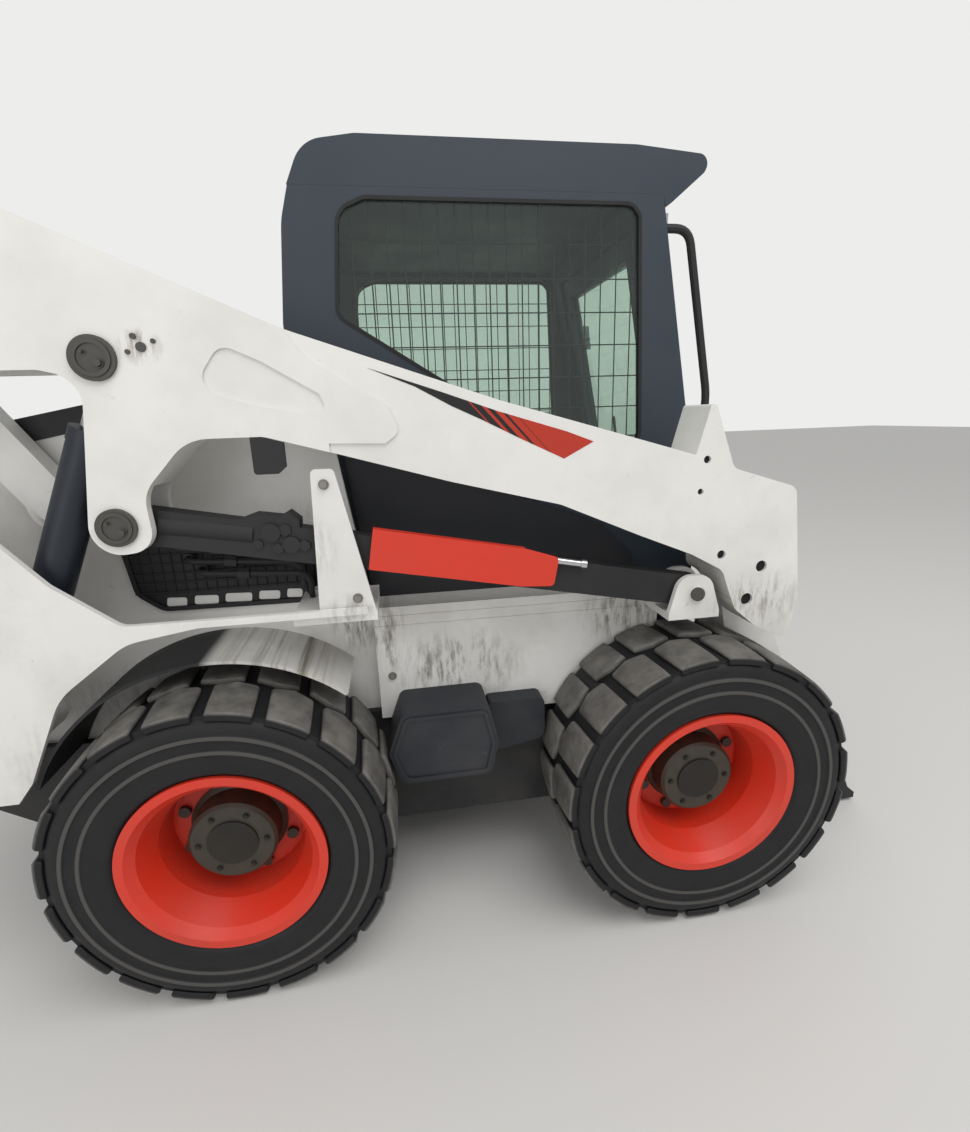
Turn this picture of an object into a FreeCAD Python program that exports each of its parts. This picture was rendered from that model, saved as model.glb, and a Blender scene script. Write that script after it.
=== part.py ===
import FreeCAD, Part
import math
import os

os.makedirs("parts", exist_ok=True)

# Skid steer loader with vertical lift arms, enclosed cab and no attachment. Millimetres.
# X forward with zero midway between the axles, Y to the machine's left, Z up from the ground.
# The left side is built and mirrored.

# Overall sizes. Side view sizes are drawn at the real half length and grow with it.
half_length = 1450.0
width_over_tyres = 1840.0
grid = half_length / 1450.0
roof_height = 2125.0
wheelbase = 1270.0
tyre_radius = 416.0
tyre_width = 312.0
tail_x = -1450.0
lip_x = 1450.0
pin_clearance = 0.6
moving_gap = 6.0
seat = 0.3

front_axle_x = wheelbase / 2.0
rear_axle_x = -wheelbase / 2.0
axle_z = tyre_radius
wheel_y = width_over_tyres / 2.0 - tyre_width / 2.0

# Side planes from the outside in, as distances from the machine's centre plane
arm_outer_y = width_over_tyres / 2.0 - 130.0
arm_inner_y = arm_outer_y - 145.0
fork_outer_y = arm_outer_y - 25.0
fork_inner_y = arm_inner_y + 20.0
lift_cylinder_y = (fork_inner_y + fork_outer_y) / 2.0
link_outer_y = fork_outer_y - 10.0
link_inner_y = link_outer_y - 55.0
fender_outer_y = arm_outer_y + 10.0
tower_outer_y = arm_outer_y - 5.0
rear_link_outer_y = arm_inner_y - 23.0
rear_link_inner_y = rear_link_outer_y - 55.0
body_wall_y = rear_link_inner_y - 12.0
wall_thickness = 20.0
body_inner_y = body_wall_y - wall_thickness
frame_half_width = wheel_y - 184.0
sill_outer_y = frame_half_width + 20.0
box_outer_y = arm_outer_y - 40.0
cab_half_width = body_wall_y - 80.0
side_wall = 40.0
cab_inner_y = cab_half_width - side_wall
leg_inner_y = cab_half_width + 20.0
leg_outer_y = leg_inner_y + 100.0
tilt_cylinder_y = leg_inner_y - 80.0

# Linkage pins in side view
control_front_pin = (625.0, 955.0)
control_rear_pin = (-770.0, 1230.0)
rear_link_frame_pin = (-977.0, 1264.0)
rear_link_arm_pin = (-1185.0, 1582.0)
lift_base_pin = (rear_axle_x - 505.0, 700.0)
lift_rod_pin = (-750.0, 1580.0)
coupler_pin = (1165.0, 225.0)
tilt_base_pin = (885.0, 1010.0)
tilt_rod_pin = (1196.0, 392.0)


def vec(x, y, z):
    return FreeCAD.Vector(x * grid, y, z * grid)


def save(name, shape):
    shape.exportStep("parts/" + name + ".step")


def box(x0, x1, y0, y1, z0, z1):
    size = vec(x1, y1, z1) - vec(x0, y0, z0)
    return Part.makeBox(size.x, size.y, size.z, vec(x0, y0, z0))


def mirrored(shape):
    return shape.mirror(FreeCAD.Vector(0, 0, 0), FreeCAD.Vector(0, 1, 0))


def both_sides(shape):
    return Part.makeCompound([shape, mirrored(shape)])


def joined(shapes):
    result = shapes[0]
    if len(shapes) > 1:
        result = shapes[0].multiFuse(shapes[1:])
    return result.removeSplitter()


def less(shape, cutters):
    return shape.cut(cutters).removeSplitter()


def flat(a, b):
    return FreeCAD.Vector(a, b, 0)


def rounded_face(points, place):
    """Face inside (a, b) corners; a corner with a third value is rounded to that radius."""
    count = len(points)
    spans = []
    for index in range(count):
        point = points[index]
        corner = flat(point[0], point[1])
        if len(point) == 2:
            spans.append((corner, None, corner))
            continue
        before = flat(points[index - 1][0], points[index - 1][1])
        after = flat(points[(index + 1) % count][0], points[(index + 1) % count][1])
        back = (before - corner).normalize()
        ahead = (after - corner).normalize()
        half = back.getAngle(ahead) / 2.0
        reach = point[2] / math.tan(half)
        inward = (back + ahead).normalize()
        crown = corner + inward * (point[2] / math.sin(half) - point[2])
        spans.append((corner + back * reach, crown, corner + ahead * reach))
    edges = []
    for index in range(count):
        first, crown, last = spans[index]
        if crown is not None:
            edges.append(Part.Arc(place(first), place(crown), place(last)).toShape())
        following = spans[(index + 1) % count][0]
        if (following - last).Length > 0.001:
            edges.append(Part.makeLine(place(last), place(following)))
    return Part.Face(Part.Wire(edges))


def side_plate(points, y0, y1):
    """Side view outline given its thickness across the machine."""
    face = rounded_face(points, lambda p: vec(p.x, y0, p.y))
    return face.extrude(FreeCAD.Vector(0, y1 - y0, 0))


def front_plate(points, x0, x1):
    """Front view outline of (y, z) corners given its thickness along the machine."""
    face = rounded_face(points, lambda p: vec(x0, p.x, p.y))
    return face.extrude(vec(x1 - x0, 0, 0))


def window_frame(half_width, low, high, radius):
    """Corners of an upright opening about the centre plane, for front_plate."""
    return [(-half_width, low, radius), (-half_width, high, radius),
            (half_width, high, radius), (half_width, low, radius)]


def cross_pin(pin, radius, y0, y1):
    return Part.makeCylinder(radius * grid, y1 - y0, vec(pin[0], y0, pin[1]), vec(0, 1, 0))


def bar(first, last, half_height, y0, y1):
    """Straight bar in side view from one pin to another, square ended at the pins."""
    dx = last[0] - first[0]
    dz = last[1] - first[1]
    length = math.hypot(dx, dz)
    nx = -dz / length * half_height
    nz = dx / length * half_height
    return side_plate([(first[0] + nx, first[1] + nz), (last[0] + nx, last[1] + nz),
                       (last[0] - nx, last[1] - nz), (first[0] - nx, first[1] - nz)], y0, y1)


def toward(first, last, distance):
    share = distance / math.hypot(last[0] - first[0], last[1] - first[1])
    return (first[0] + (last[0] - first[0]) * share, first[1] + (last[1] - first[1]) * share)


def beside(first, last, distance, offset):
    """Point at a distance along a bar that runs rearward, and so far above its middle line."""
    x, z = toward(first, last, distance)
    length = math.hypot(last[0] - first[0], last[1] - first[1])
    return (x + (last[1] - first[1]) / length * offset, z - (last[0] - first[0]) / length * offset)


def rod(first, last, radius, y):
    along = vec(last[0], y, last[1]) - vec(first[0], y, first[1])
    return Part.makeCylinder(radius * grid, along.Length, vec(first[0], y, first[1]), along)


def polygon_face(corners):
    return Part.Face(Part.makePolygon(corners + corners[:1]))


def faceted(loops, capped):
    """Solid with flat faces through rings of corners, capped at both ends or closed on itself."""
    faces = []
    if capped:
        faces = [polygon_face(loops[0]), polygon_face(loops[-1])]
    for index in range(1 if capped else 0, len(loops)):
        near = loops[index - 1]
        far = loops[index]
        for step in range(len(near)):
            faces.append(polygon_face([near[step - 1], far[step - 1], far[step], near[step]]))
    skin = Part.makeCompound(faces)
    skin.sewShape()
    return Part.Solid(skin.Shells[0])


def spun(points, x, y, z, side):
    """Ring turned about a wheel's axle from (outward offset, radius) corners."""
    spots = [vec(x, y + side * offset, z + radius) for offset, radius in points]
    wire = Part.makePolygon(spots + [spots[0]])
    return Part.Face(wire).revolve(vec(x, y, z), vec(0, 1, 0), 360)


# Wheels
rim_flange_radius = 243.0
rim_seat_radius = 212.0
rim_half_width = 148.0
rim_wall = 9.0
disc_offset = -22.0
disc_thickness = 14.0
hub_radius = 109.0
hub_reach = 66.0
hub_bore_radius = 62.0
spindle_radius = 50.0
spindle_reach = 24.0
nut_count = 8
nut_circle_radius = 140.0
nut_radius = 15.0
nut_height = 20.0
tyre_half = tyre_width / 2.0

lug_count = 19
lug_height = 16.0
lug_gap = 29.0
lug_crown = 6.0
lug_groove = 14.0
shoulder_inset = 8.0
flat_count = 2 * lug_count
lug_root_radius = tyre_radius - lug_height
tyre_side = [(rim_half_width - 25 - seat, rim_seat_radius + 1),
             (rim_half_width - 10.5, rim_flange_radius + 1),
             (tyre_half, rim_flange_radius + 67), (tyre_half - shoulder_inset, lug_root_radius)]
tyre_section = tyre_side + [(-offset, radius) for offset, radius in reversed(tyre_side)]

rim_section = [(-rim_half_width, rim_flange_radius), (-rim_half_width + 10, rim_flange_radius),
               (-rim_half_width + 12, 225), (-rim_half_width + 25, rim_seat_radius),
               (rim_half_width - 25, rim_seat_radius), (rim_half_width - 12, 225),
               (rim_half_width - 10, rim_flange_radius), (rim_half_width, rim_flange_radius),
               (rim_half_width, 222), (rim_half_width - 22, rim_seat_radius - rim_wall),
               (60, 176), (disc_offset, 168), (disc_offset, hub_bore_radius),
               (disc_offset - disc_thickness, hub_bore_radius), (disc_offset - disc_thickness, 178),
               (disc_offset, 186), (-60, rim_seat_radius - rim_wall),
               (-rim_half_width + 22, rim_seat_radius - rim_wall), (-rim_half_width, 222)]

hub_section = [(spindle_reach + 1, 0), (spindle_reach + 1, spindle_radius + pin_clearance),
               (disc_offset + seat, spindle_radius + pin_clearance), (disc_offset + seat, 122),
               (disc_offset + 12, 122), (disc_offset + 20, hub_radius), (hub_reach - 8, hub_radius),
               (hub_reach, hub_radius - 8), (hub_reach, 0)]


def tread_point(wheel, offset, radius, angle):
    return vec(wheel[0] + radius * math.sin(angle), wheel[1] + offset, wheel[2] + radius * math.cos(angle))


def lug(wheel, side, middle):
    """Tread block that follows two flats of the tyre, lower towards its shoulder."""
    flat_angle = math.pi / flat_count
    half_angle = math.pi / lug_count - lug_gap / tyre_radius / 2.0
    edge = math.cos(flat_angle) / math.cos(half_angle - flat_angle)
    loops = []
    for offset, foot, tip in ((lug_groove / 2.0, lug_root_radius - 3.0, tyre_radius),
                              (tyre_half - shoulder_inset, lug_root_radius, tyre_radius - lug_crown)):
        corners = [(-half_angle, foot * edge), (-half_angle, tip * edge), (0, tip), (half_angle, tip * edge),
                   (half_angle, foot * edge), (0, foot)]
        loops.append([tread_point(wheel, side * offset, radius, middle + angle) for angle, radius in corners])
    return faceted(loops, True)


def tyre(wheel):
    turns = [2 * math.pi * step / flat_count for step in range(flat_count)]
    carcass = faceted([[tread_point(wheel, offset, radius, angle) for angle in turns]
                       for offset, radius in tyre_section], False)
    lugs = []
    for step in range(lug_count):
        lugs.append(lug(wheel, 1, turns[2 * step]))
        lugs.append(lug(wheel, -1, turns[2 * step + 1]))
    return joined([carcass] + lugs)


wheel_table = [("front_left", front_axle_x, 1), ("front_right", front_axle_x, -1),
               ("rear_left", rear_axle_x, 1), ("rear_right", rear_axle_x, -1)]

for name, x, side in wheel_table:
    save("tyre_" + name, tyre((x, side * wheel_y, axle_z)))
    save("rim_" + name, spun(rim_section, x, side * wheel_y, axle_z, side))
    hub = spun(hub_section, x, side * wheel_y, axle_z, side)
    nut_y = side * (wheel_y + disc_offset + seat)
    outward = FreeCAD.Vector(0, side, 0)
    nuts = []
    for step in range(nut_count):
        angle = 2 * math.pi * (step + 0.5) / nut_count
        nut_x = x + nut_circle_radius * math.cos(angle)
        nut_z = axle_z + nut_circle_radius * math.sin(angle)
        nuts.append(Part.makeCylinder(nut_radius * grid, nut_height, vec(nut_x, nut_y, nut_z), outward))
    hub_seat = vec(x, nut_y, axle_z)
    flange = Part.makeCylinder((nut_circle_radius + 18) * grid, 6, hub_seat, outward)
    flange = flange.cut(Part.makeCylinder((spindle_radius + pin_clearance) * grid, 6, hub_seat, outward))
    save("hub_" + name, joined([hub, flange] + nuts))

# Frame tub with the drive cases, and the axle tubes
frame_top = 600.0
frame_rear_x = tail_x + 65.0
ground_clearance = 225.0
tub = side_plate([(760, 330, 20), (760, frame_top), (frame_rear_x, frame_top), (frame_rear_x, 470, 20),
                  (-1000, ground_clearance, 60), (690, ground_clearance, 40)],
                 -frame_half_width, frame_half_width)
save("main_frame", tub)

axle_tube_radius = 78.0
axle_tube_end = wheel_y + disc_offset - disc_thickness - moving_gap
axles = []
for x in (front_axle_x, rear_axle_x):
    tube = cross_pin((x, axle_z), axle_tube_radius, frame_half_width, axle_tube_end)
    flange = cross_pin((x, axle_z), axle_tube_radius + 34, frame_half_width, frame_half_width + 14)
    spindle = cross_pin((x, axle_z), spindle_radius, axle_tube_end - 5, wheel_y + spindle_reach)
    axles.append(joined([tube, flange, spindle]))
save("axle_tubes", Part.makeCompound([both_sides(axle) for axle in axles]))

# Side sills between the wheels, with the ear that carries the control link
sill_rear_x = -249.0
sill_top = 930.0
sill = side_plate([(sill_rear_x, frame_top), (sill_rear_x, sill_top), (560, sill_top - 5, 10), (600, 885, 10),
                   (600, 640, 30), (560, frame_top)], cab_half_width + seat, sill_outer_y)
skin = side_plate([(sill_rear_x, 588), (sill_rear_x, frame_top + 10), (560, frame_top + 10), (560, 565, 20)],
                  frame_half_width, sill_outer_y)
save("side_sills", both_sides(joined([sill, skin])))

ear_foot = sill_top - 25.0
ear_pin_radius = 22.0
ear_wall = 16.0
ear_outer_y = link_outer_y + 8.0 + ear_wall
ear_inner_y = link_inner_y - 8.0 - ear_wall
ear_outline = [(545, ear_foot), (573, 1008, 45), (660, 1008, 45), (692, ear_foot)]
ears = [side_plate(ear_outline, ear_inner_y, ear_inner_y + ear_wall),
        side_plate(ear_outline, ear_outer_y - ear_wall, ear_outer_y),
        box(545, 692, sill_outer_y, ear_outer_y, ear_foot - 20, ear_foot),
        cross_pin(control_front_pin, ear_pin_radius, ear_inner_y, ear_outer_y + 7)]
save("link_ears", both_sides(joined(ears)))

# Side boxes under the sills
box_rear_x = rear_axle_x + tyre_radius
box_front_x = front_axle_x - tyre_radius
side_box = side_plate([(box_rear_x - 13, 560, 30), (box_rear_x + 29, 672, 25), (48, 672, 25),
                       (72, 560, 20), (48, 462, 25), (box_rear_x + 19, 462, 30)],
                      sill_outer_y, box_outer_y)
box_step = side_plate([(60, 632, 12), (box_front_x + 9, 632, 20), (box_front_x + 9, 500, 25),
                       (60, 470, 12)], sill_outer_y, sill_outer_y + 60)
save("side_boxes", both_sides(joined([side_box, box_step])))

# Rear uprights that carry the rear links and the lift cylinders
post_x = -352.0
wall_top = 1480.0
wall_rear_top = 1345.0
link_pin_radius = 26.0
vent_outline = [(-790, 1170, 40), (-390, 1160, 40), (-385, 990, 30), (-640, 995, 50), (-735, 1030, 40)]
wall = side_plate([(-250, sill_top), (-310, 1350, 10), (-325, wall_top, 20), (-700, wall_top, 60),
                   (frame_rear_x, wall_rear_top, 30), (frame_rear_x, frame_top), (-250, frame_top)],
                  body_inner_y, body_wall_y)
wall = wall.cut(side_plate(vent_outline, body_inner_y - 1, body_wall_y + 1))
strip = side_plate([(-228, 975), (-300, 1335, 12), (post_x, 1335, 12), (post_x - 14, 975)],
                   tower_outer_y - 19, tower_outer_y - 9)
ledge = box(-430, -228, body_wall_y, tower_outer_y - 9, 960, 985)
tower_rear_x = frame_rear_x - 15.0
tower = side_plate([(tower_rear_x, frame_top), (rear_axle_x - 500, frame_top), (rear_axle_x - 455, 800, 60),
                    (rear_axle_x - 325, 965, 60), (rear_axle_x - 250, 1030, 30),
                    (rear_axle_x - 325, 1110, 40), (rear_axle_x - 475, 1275, 60), (tower_rear_x, 1275, 20)],
                   fork_outer_y, tower_outer_y)
tower_back = box(tower_rear_x, frame_rear_x, body_inner_y, fork_outer_y + 5, frame_top, 1275)
link_pin = cross_pin(rear_link_frame_pin, link_pin_radius, body_wall_y - 5, rear_link_outer_y + 12)
link_pad = cross_pin(rear_link_frame_pin, 62, body_wall_y, rear_link_inner_y - 4)
pin_keeper = cross_pin(rear_link_frame_pin, 36, rear_link_outer_y + 5, rear_link_outer_y + 14)
base_pin = cross_pin(lift_base_pin, link_pin_radius, body_wall_y - 5, fork_outer_y + 5)
base_pad = cross_pin(lift_base_pin, 44, body_wall_y, lift_cylinder_y - 48)
upright = joined([wall, strip, ledge, tower, tower_back, link_pin, link_pad, pin_keeper, base_pin,
                  base_pad])

hinge_x = tail_x + 25.0
hinge_y = body_wall_y - 9.0
knuckle_radius = 12.0
frame_knuckle_length = 40.0
gate_knuckle_length = 50.0
hinge_heights = (600.0, 1110.0)
frame_knuckles = []
for low in hinge_heights:
    barrel = Part.makeCylinder(knuckle_radius, frame_knuckle_length * grid, vec(hinge_x, hinge_y, low))
    leaf = box(hinge_x, frame_rear_x + 5, hinge_y - 8, hinge_y + 8, low, low + frame_knuckle_length)
    frame_knuckles.append(joined([barrel, leaf]))
save("uprights", Part.makeCompound([joined([upright] + frame_knuckles), mirrored(upright)]))

# Rear fenders and their dark wheel arches
fender_rear_x = tail_x + 30.0
fender_plate = side_plate([(rear_axle_x - 470, 580), (rear_axle_x - 430, 630),
                           (rear_axle_x - 330, 840, 160), (rear_axle_x - 165, 960, 120),
                           (rear_axle_x - 5, 985, 80), (-250, 985), (-250, 1000),
                           (rear_axle_x - 165, 1003, 40), (rear_axle_x - 295, 1110, 60),
                           (rear_axle_x - 455, 1310, 60), (fender_rear_x, 1310, 40),
                           (fender_rear_x, 580, 40)], tower_outer_y, fender_outer_y)
fender_back = box(fender_rear_x, fender_rear_x + 15, body_wall_y + 4, tower_outer_y + 5, 600, 1285)
save("rear_fenders", both_sides(joined([fender_plate, fender_back])))

arch_radius = tyre_radius + 52.0
arch_wall = 8.0
arch_outer_y = tower_outer_y - 1.0
arch_ring = cross_pin((rear_axle_x, axle_z), arch_radius + arch_wall, body_wall_y, arch_outer_y)
arch_hole = cross_pin((rear_axle_x, axle_z), arch_radius, body_wall_y - 1, arch_outer_y + 1)
arch_keep = side_plate([(rear_axle_x - 470, frame_top + 1), (rear_axle_x - 470, 1000), (-300, 1000),
                        (-300, 780), (rear_axle_x, frame_top + 1)], body_wall_y - 2, arch_outer_y + 2)
save("wheel_arches", both_sides(arch_ring.cut(arch_hole).common(arch_keep)))

# Engine block, finned side grilles and hood
engine_half_width = body_wall_y - 255.0
save("engine_block", box(-1280, -560, -engine_half_width, engine_half_width, frame_top, 1150))

fin_count = 10
fin_pitch = 42.0
fin_thickness = 14.0
grille_depth = 16.0
grille_plate = side_plate(vent_outline, body_wall_y - grille_depth, body_wall_y - grille_depth + 6)
fin_limit = side_plate(vent_outline, body_wall_y - grille_depth, body_wall_y)
grille_pieces = [grille_plate]
for step in range(fin_count):
    fin_x = -780.0 + fin_pitch * step
    fin = box(fin_x, fin_x + fin_thickness, body_wall_y - grille_depth + 3, body_wall_y - 2, 985, 1175)
    grille_pieces.append(fin.common(fin_limit))
save("side_grilles", both_sides(joined(grille_pieces)))

cab_rear_x = -420.0
hood_half = body_wall_y + 4.0
hood_front_x = cab_rear_x - 6.0
hood = side_plate([(hood_front_x, wall_top + seat), (hood_front_x, 1530, 20), (-700, 1535, 80),
                   (-1340, 1415, 60), (tower_rear_x, 1372, 15), (tower_rear_x, wall_rear_top + seat),
                   (frame_rear_x, wall_rear_top + seat), (-700, wall_top + seat, 60)],
                  -hood_half, hood_half)
hood_hollow = side_plate([(-460, 1470), (-460, 1508), (-700, 1512, 60), (-1330, 1394, 40), (-1370, 1360),
                          (-1370, 1300)], -body_inner_y, body_inner_y)
save("rear_hood", less(hood, [hood_hollow]))

# Tailgate with its grille and lamps, and the bumper below
gate_half = body_wall_y - 25.0
gate_bottom = 520.0
gate_top = 1335.0
gate_outer_x = tail_x + 10.0
grille_half = gate_half - 190.0
gate = front_plate(window_frame(gate_half, gate_bottom, gate_top, 40), gate_outer_x, tail_x + 55)
gate_hole = front_plate(window_frame(grille_half, 640, 1060, 30), tail_x, tail_x + 60)
gate_pieces = [less(gate, [gate_hole])]
for low in hinge_heights:
    foot = low + frame_knuckle_length + seat
    barrel = Part.makeCylinder(knuckle_radius, gate_knuckle_length * grid, vec(hinge_x, hinge_y, foot))
    leaf = box(hinge_x - 8, hinge_x + 8, gate_half - 4, hinge_y, foot, foot + gate_knuckle_length)
    gate_pieces.append(joined([barrel, leaf]))
save("tailgate", joined(gate_pieces))
louvre_count = 9
louvre_pitch = 42.0
louvre_gap = 22.0
louvre_half = grille_half - 24.0
grille = front_plate(window_frame(grille_half, 640, 1060, 30), tail_x + 18, tail_x + 45)
louvres = []
for step in range(louvre_count):
    low = 671.0 + louvre_pitch * step
    louvres.append(box(tail_x + 17, tail_x + 36, -louvre_half, louvre_half, low, low + louvre_gap))
save("tailgate_grille", less(grille, louvres))
lamp_inner_y = gate_half - 140.0
lamp_outer_y = gate_half - 40.0
lamp = front_plate([(lamp_inner_y, 1000, 15), (lamp_inner_y, 1140, 15), (lamp_outer_y, 1140, 15),
                    (lamp_outer_y, 1000, 15)], tail_x, gate_outer_x)
save("tail_lamps", both_sides(lamp))
bumper_half = body_wall_y + 5.0
save("rear_bumper", front_plate([(-bumper_half, 410, 20), (-bumper_half, 500), (bumper_half, 500),
                                 (bumper_half, 410, 20)], tail_x, frame_rear_x))

# Cab: floor, rear wall, sides with windows, front frame and roof
cab_floor_z = frame_top
cab_front_x = 775.0
cab_top = roof_height - 115.0
window_top = roof_height - 135.0
door_top = roof_height - 175.0
door_sill = 780.0
door_half = cab_inner_y - 95.0
glass_half = door_half - 55.0
cab_rear_top_x = -372.0
cab_front_top_x = 622.0
cab_grid = (cab_top - cab_floor_z) / 1410.0


def rise(height):
    """Height in the cab as drawn, which grows with the roof height."""
    return cab_floor_z + (height - 600.0) * cab_grid


cab_front_line = [(cab_front_top_x, cab_top), (740, rise(1350), 400), (cab_front_x, rise(950), 400),
                  (cab_front_x, cab_floor_z)]
cab_outline = [(cab_rear_x, cab_floor_z), (cab_rear_x, rise(1690), 60), (-396, rise(1930), 200),
               (cab_rear_top_x, cab_top)] + cab_front_line
window_outline = [(-285, rise(1705), 40), (-262, window_top - 30, 100), (-190, window_top, 40),
                  (535, window_top, 40), (560, window_top - 30, 30), (585, rise(1330), 40),
                  (200, rise(1400), 100)]
cab_side = side_plate(cab_outline, cab_inner_y, cab_half_width)
window_cut = side_plate(window_outline, cab_inner_y - 1, cab_half_width + 1)
save("cab_side_left", less(cab_side, [window_cut]))
save("cab_side_right", mirrored(less(cab_side, [window_cut])))
save("side_glass", both_sides(side_plate(window_outline, cab_half_width - 12, cab_half_width - 6)))

screen_y = cab_inner_y - 8.0
screen = rounded_face(window_outline, lambda p: vec(p.x, screen_y, p.y)).makeOffset2D(15 * grid)
screen = screen.extrude(FreeCAD.Vector(0, cab_inner_y - screen_y - seat, 0))
save("side_screens", both_sides(screen))

rear_window = window_frame(cab_inner_y - 95, rise(1560), window_top - 90, 40)
rear_wall = box(cab_rear_x, cab_rear_x + 40, -cab_inner_y, cab_inner_y, cab_floor_z, cab_top)
rear_wall = rear_wall.common(side_plate(cab_outline, -cab_inner_y, cab_inner_y))
save("cab_rear", less(rear_wall, [front_plate(rear_window, cab_rear_x - 1, cab_rear_x + 60)]))
save("rear_glass", front_plate(rear_window, cab_rear_x + 16, cab_rear_x + 22))

floor_thickness = 30.0
floor_top = cab_floor_z + floor_thickness
save("cab_floor", box(cab_rear_x + 40, 715, -cab_inner_y, cab_inner_y, cab_floor_z, floor_top))

front_band = side_plate([(715, cab_floor_z), (715, rise(950), 300), (680, rise(1350), 300), (562, cab_top)]
                        + cab_front_line, -cab_inner_y, cab_inner_y)
front_band = less(front_band, [screen, mirrored(screen)])
door_hole = box(500, 900, -door_half - 12, door_half + 6, door_sill - 6, door_top + 6)

door_axis_low = (811.0, door_sill)
door_axis_high = (669.0, rise(1965.0))
door_hinge_y = door_half + 6.0
door_hinge_heights = (rise(880.0), rise(1700.0))
door_knuckle = 45.0
axis_lean = (door_axis_high[0] - door_axis_low[0]) / (door_axis_high[1] - door_axis_low[1])


def door_hinge(low, leaf_width):
    """Knuckle on the leaning door hinge line, with its leaf on one side of it."""
    x = door_axis_low[0] + axis_lean * (low - door_axis_low[1])
    knuckle = Part.makeCylinder(11, door_knuckle * grid, vec(x, door_hinge_y, low), vec(axis_lean, 0, 1))
    leaf_top = door_knuckle - 1
    shift = axis_lean * leaf_top
    outline = [(x - 32, low), (x, low), (x + shift, low + leaf_top), (x - 32 + shift, low + leaf_top)]
    leaf_y = door_hinge_y + leaf_width
    return joined([knuckle, side_plate(outline, min(door_hinge_y, leaf_y), max(door_hinge_y, leaf_y))])


frame_hinges = [door_hinge(low, 20) for low in door_hinge_heights]
save("cab_front", joined([less(front_band, [door_hole])] + frame_hinges))

door_band = side_plate([(727, door_sill), (727, rise(950), 300), (692, rise(1350), 300), (586, door_top),
                        (624, door_top), (734, rise(1350), 400), (769, rise(950), 400), (769, door_sill)],
                       -door_half, door_half)
door_pane_hole = box(500, 900, -glass_half, glass_half, door_sill + 70, door_top - 60)
door_hinges = [door_hinge(low + door_knuckle + 1, -20) for low in door_hinge_heights]
save("door_frame", joined([less(door_band, [door_pane_hole])] + door_hinges))
door_pane = side_plate([(745, door_sill + 70), (745, rise(950), 300), (710, rise(1350), 300),
                        (613, door_top - 60), (620, door_top - 60), (717, rise(1350), 300),
                        (752, rise(950), 300), (752, door_sill + 70)], -glass_half, glass_half)
save("door_glass", door_pane)

roof = side_plate([(cab_rear_top_x - 2, cab_top + seat), (-330, roof_height - 20, 90),
                   (-200, roof_height, 60), (540, roof_height, 60), (758, roof_height - 18, 25),
                   (738, roof_height - 60, 20), (640, cab_top - 25, 20), (628, cab_top - 25), (cab_front_top_x, cab_top + seat)],
                  -cab_half_width, cab_half_width)
save("cab_roof", roof)

lamp_inner = cab_inner_y - 95.0
save("front_lamps", both_sides(box(637.5, 662, lamp_inner, lamp_inner + 85, cab_top - 85, cab_top - 30)))

# Handrail on the cab's right front corner
rail_radius = 12.0
rail_y = -(cab_half_width - 20.0)
rail_points = [(638.4, rise(1932)), (712, rise(1932)), (800, rise(1470)), (785, rise(1365)),
               (739.8, rise(1365))]
rail = [rod(rail_points[i], rail_points[i + 1], rail_radius, rail_y) for i in range(4)]
rail = rail + [Part.makeSphere(rail_radius * grid, vec(p[0], rail_y, p[1])) for p in rail_points[1:4]]
save("handrails", joined(rail))

# Dark covers on the cab's flanks above the sills
flank = side_plate([(sill_rear_x, sill_top + 1), (-300, rise(1370), 10), (0, rise(1280), 40),
                    (450, rise(1110), 60), (560, rise(1000), 40), (560, sill_top - 5 + seat),
                    (sill_rear_x, sill_top + seat)],
                   cab_half_width + seat, cab_half_width + 18)
save("flank_covers", both_sides(flank))

# Seat and controls
seat_half = cab_inner_y - 205.0
seat_front_x = 240.0
cushion_z = 900.0
save("seat_base", box(-250, 200, -seat_half, seat_half, floor_top, cushion_z))
cushion = box(-230, seat_front_x, -seat_half - 10, seat_half + 10, cushion_z, cushion_z + 100)
backrest = side_plate([(-225, cushion_z + 95), (-340, 1520, 40), (-250, 1540, 40), (-110, cushion_z + 95)],
                      -seat_half, seat_half)
save("seat_cushions", joined([cushion, backrest]))
console_inner_y = cab_inner_y - 155.0
console_outer_y = cab_inner_y - 35.0
console_y = (console_inner_y + console_outer_y) / 2.0
console = side_plate([(-150, 1060), (-150, 1130, 20), (260, 1110, 30), (290, 1040, 20)],
                     console_inner_y, console_outer_y)
post = box(-60, 60, console_y - 40, console_y + 40, floor_top, 1062)
save("control_consoles", both_sides(joined([console, post])))
stick = Part.makeCone(16 * grid, 22 * grid, 130 * grid, vec(220, console_y, 1114.7), vec(0.2, 0, 1))
save("joysticks", both_sides(stick))

# Lift arms
leg_pin_radius = 24.0
arm_outline = [(-1290, 1560, 60), (-1270, 1840, 130), (-1100, 1925, 160), (-860, 1850, 200),
               (-380, 1635, 600), (90, 1475, 600), (592, 1328), (626, 1452, 8), (640, 1448, 8),
               (700, 1290, 30), (885, 1232, 30),
               (925, 930, 30), (905, 800, 20), (800, 850, 60), (735, 905, 40), (712, 960, 30),
               (690, 1018, 40), (600, 1068, 50), (450, 1130, 60), (240, 1222, 100), (-30, 1292, 200),
               (-300, 1372, 200),
               (-440, 1412, 60), (-600, 1412, 100), (-705, 1300, 80), (-700, 1175, 50), (-840, 1160, 60),
               (-805, 1380, 60), (-780, 1540, 60), (-860, 1560, 30), (-1090, 1560, 30), (-1180, 1490, 60)]
slot_outline = [(-1400, 1300), (-1330, 1610), (-1100, 1655, 60), (-690, 1655, 60), (-648, 1560, 40),
                (-648, 1430, 30), (-690, 1390, 20), (-690, 1310), (-660, 1310), (-660, 1100), (-900, 1100)]
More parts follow.
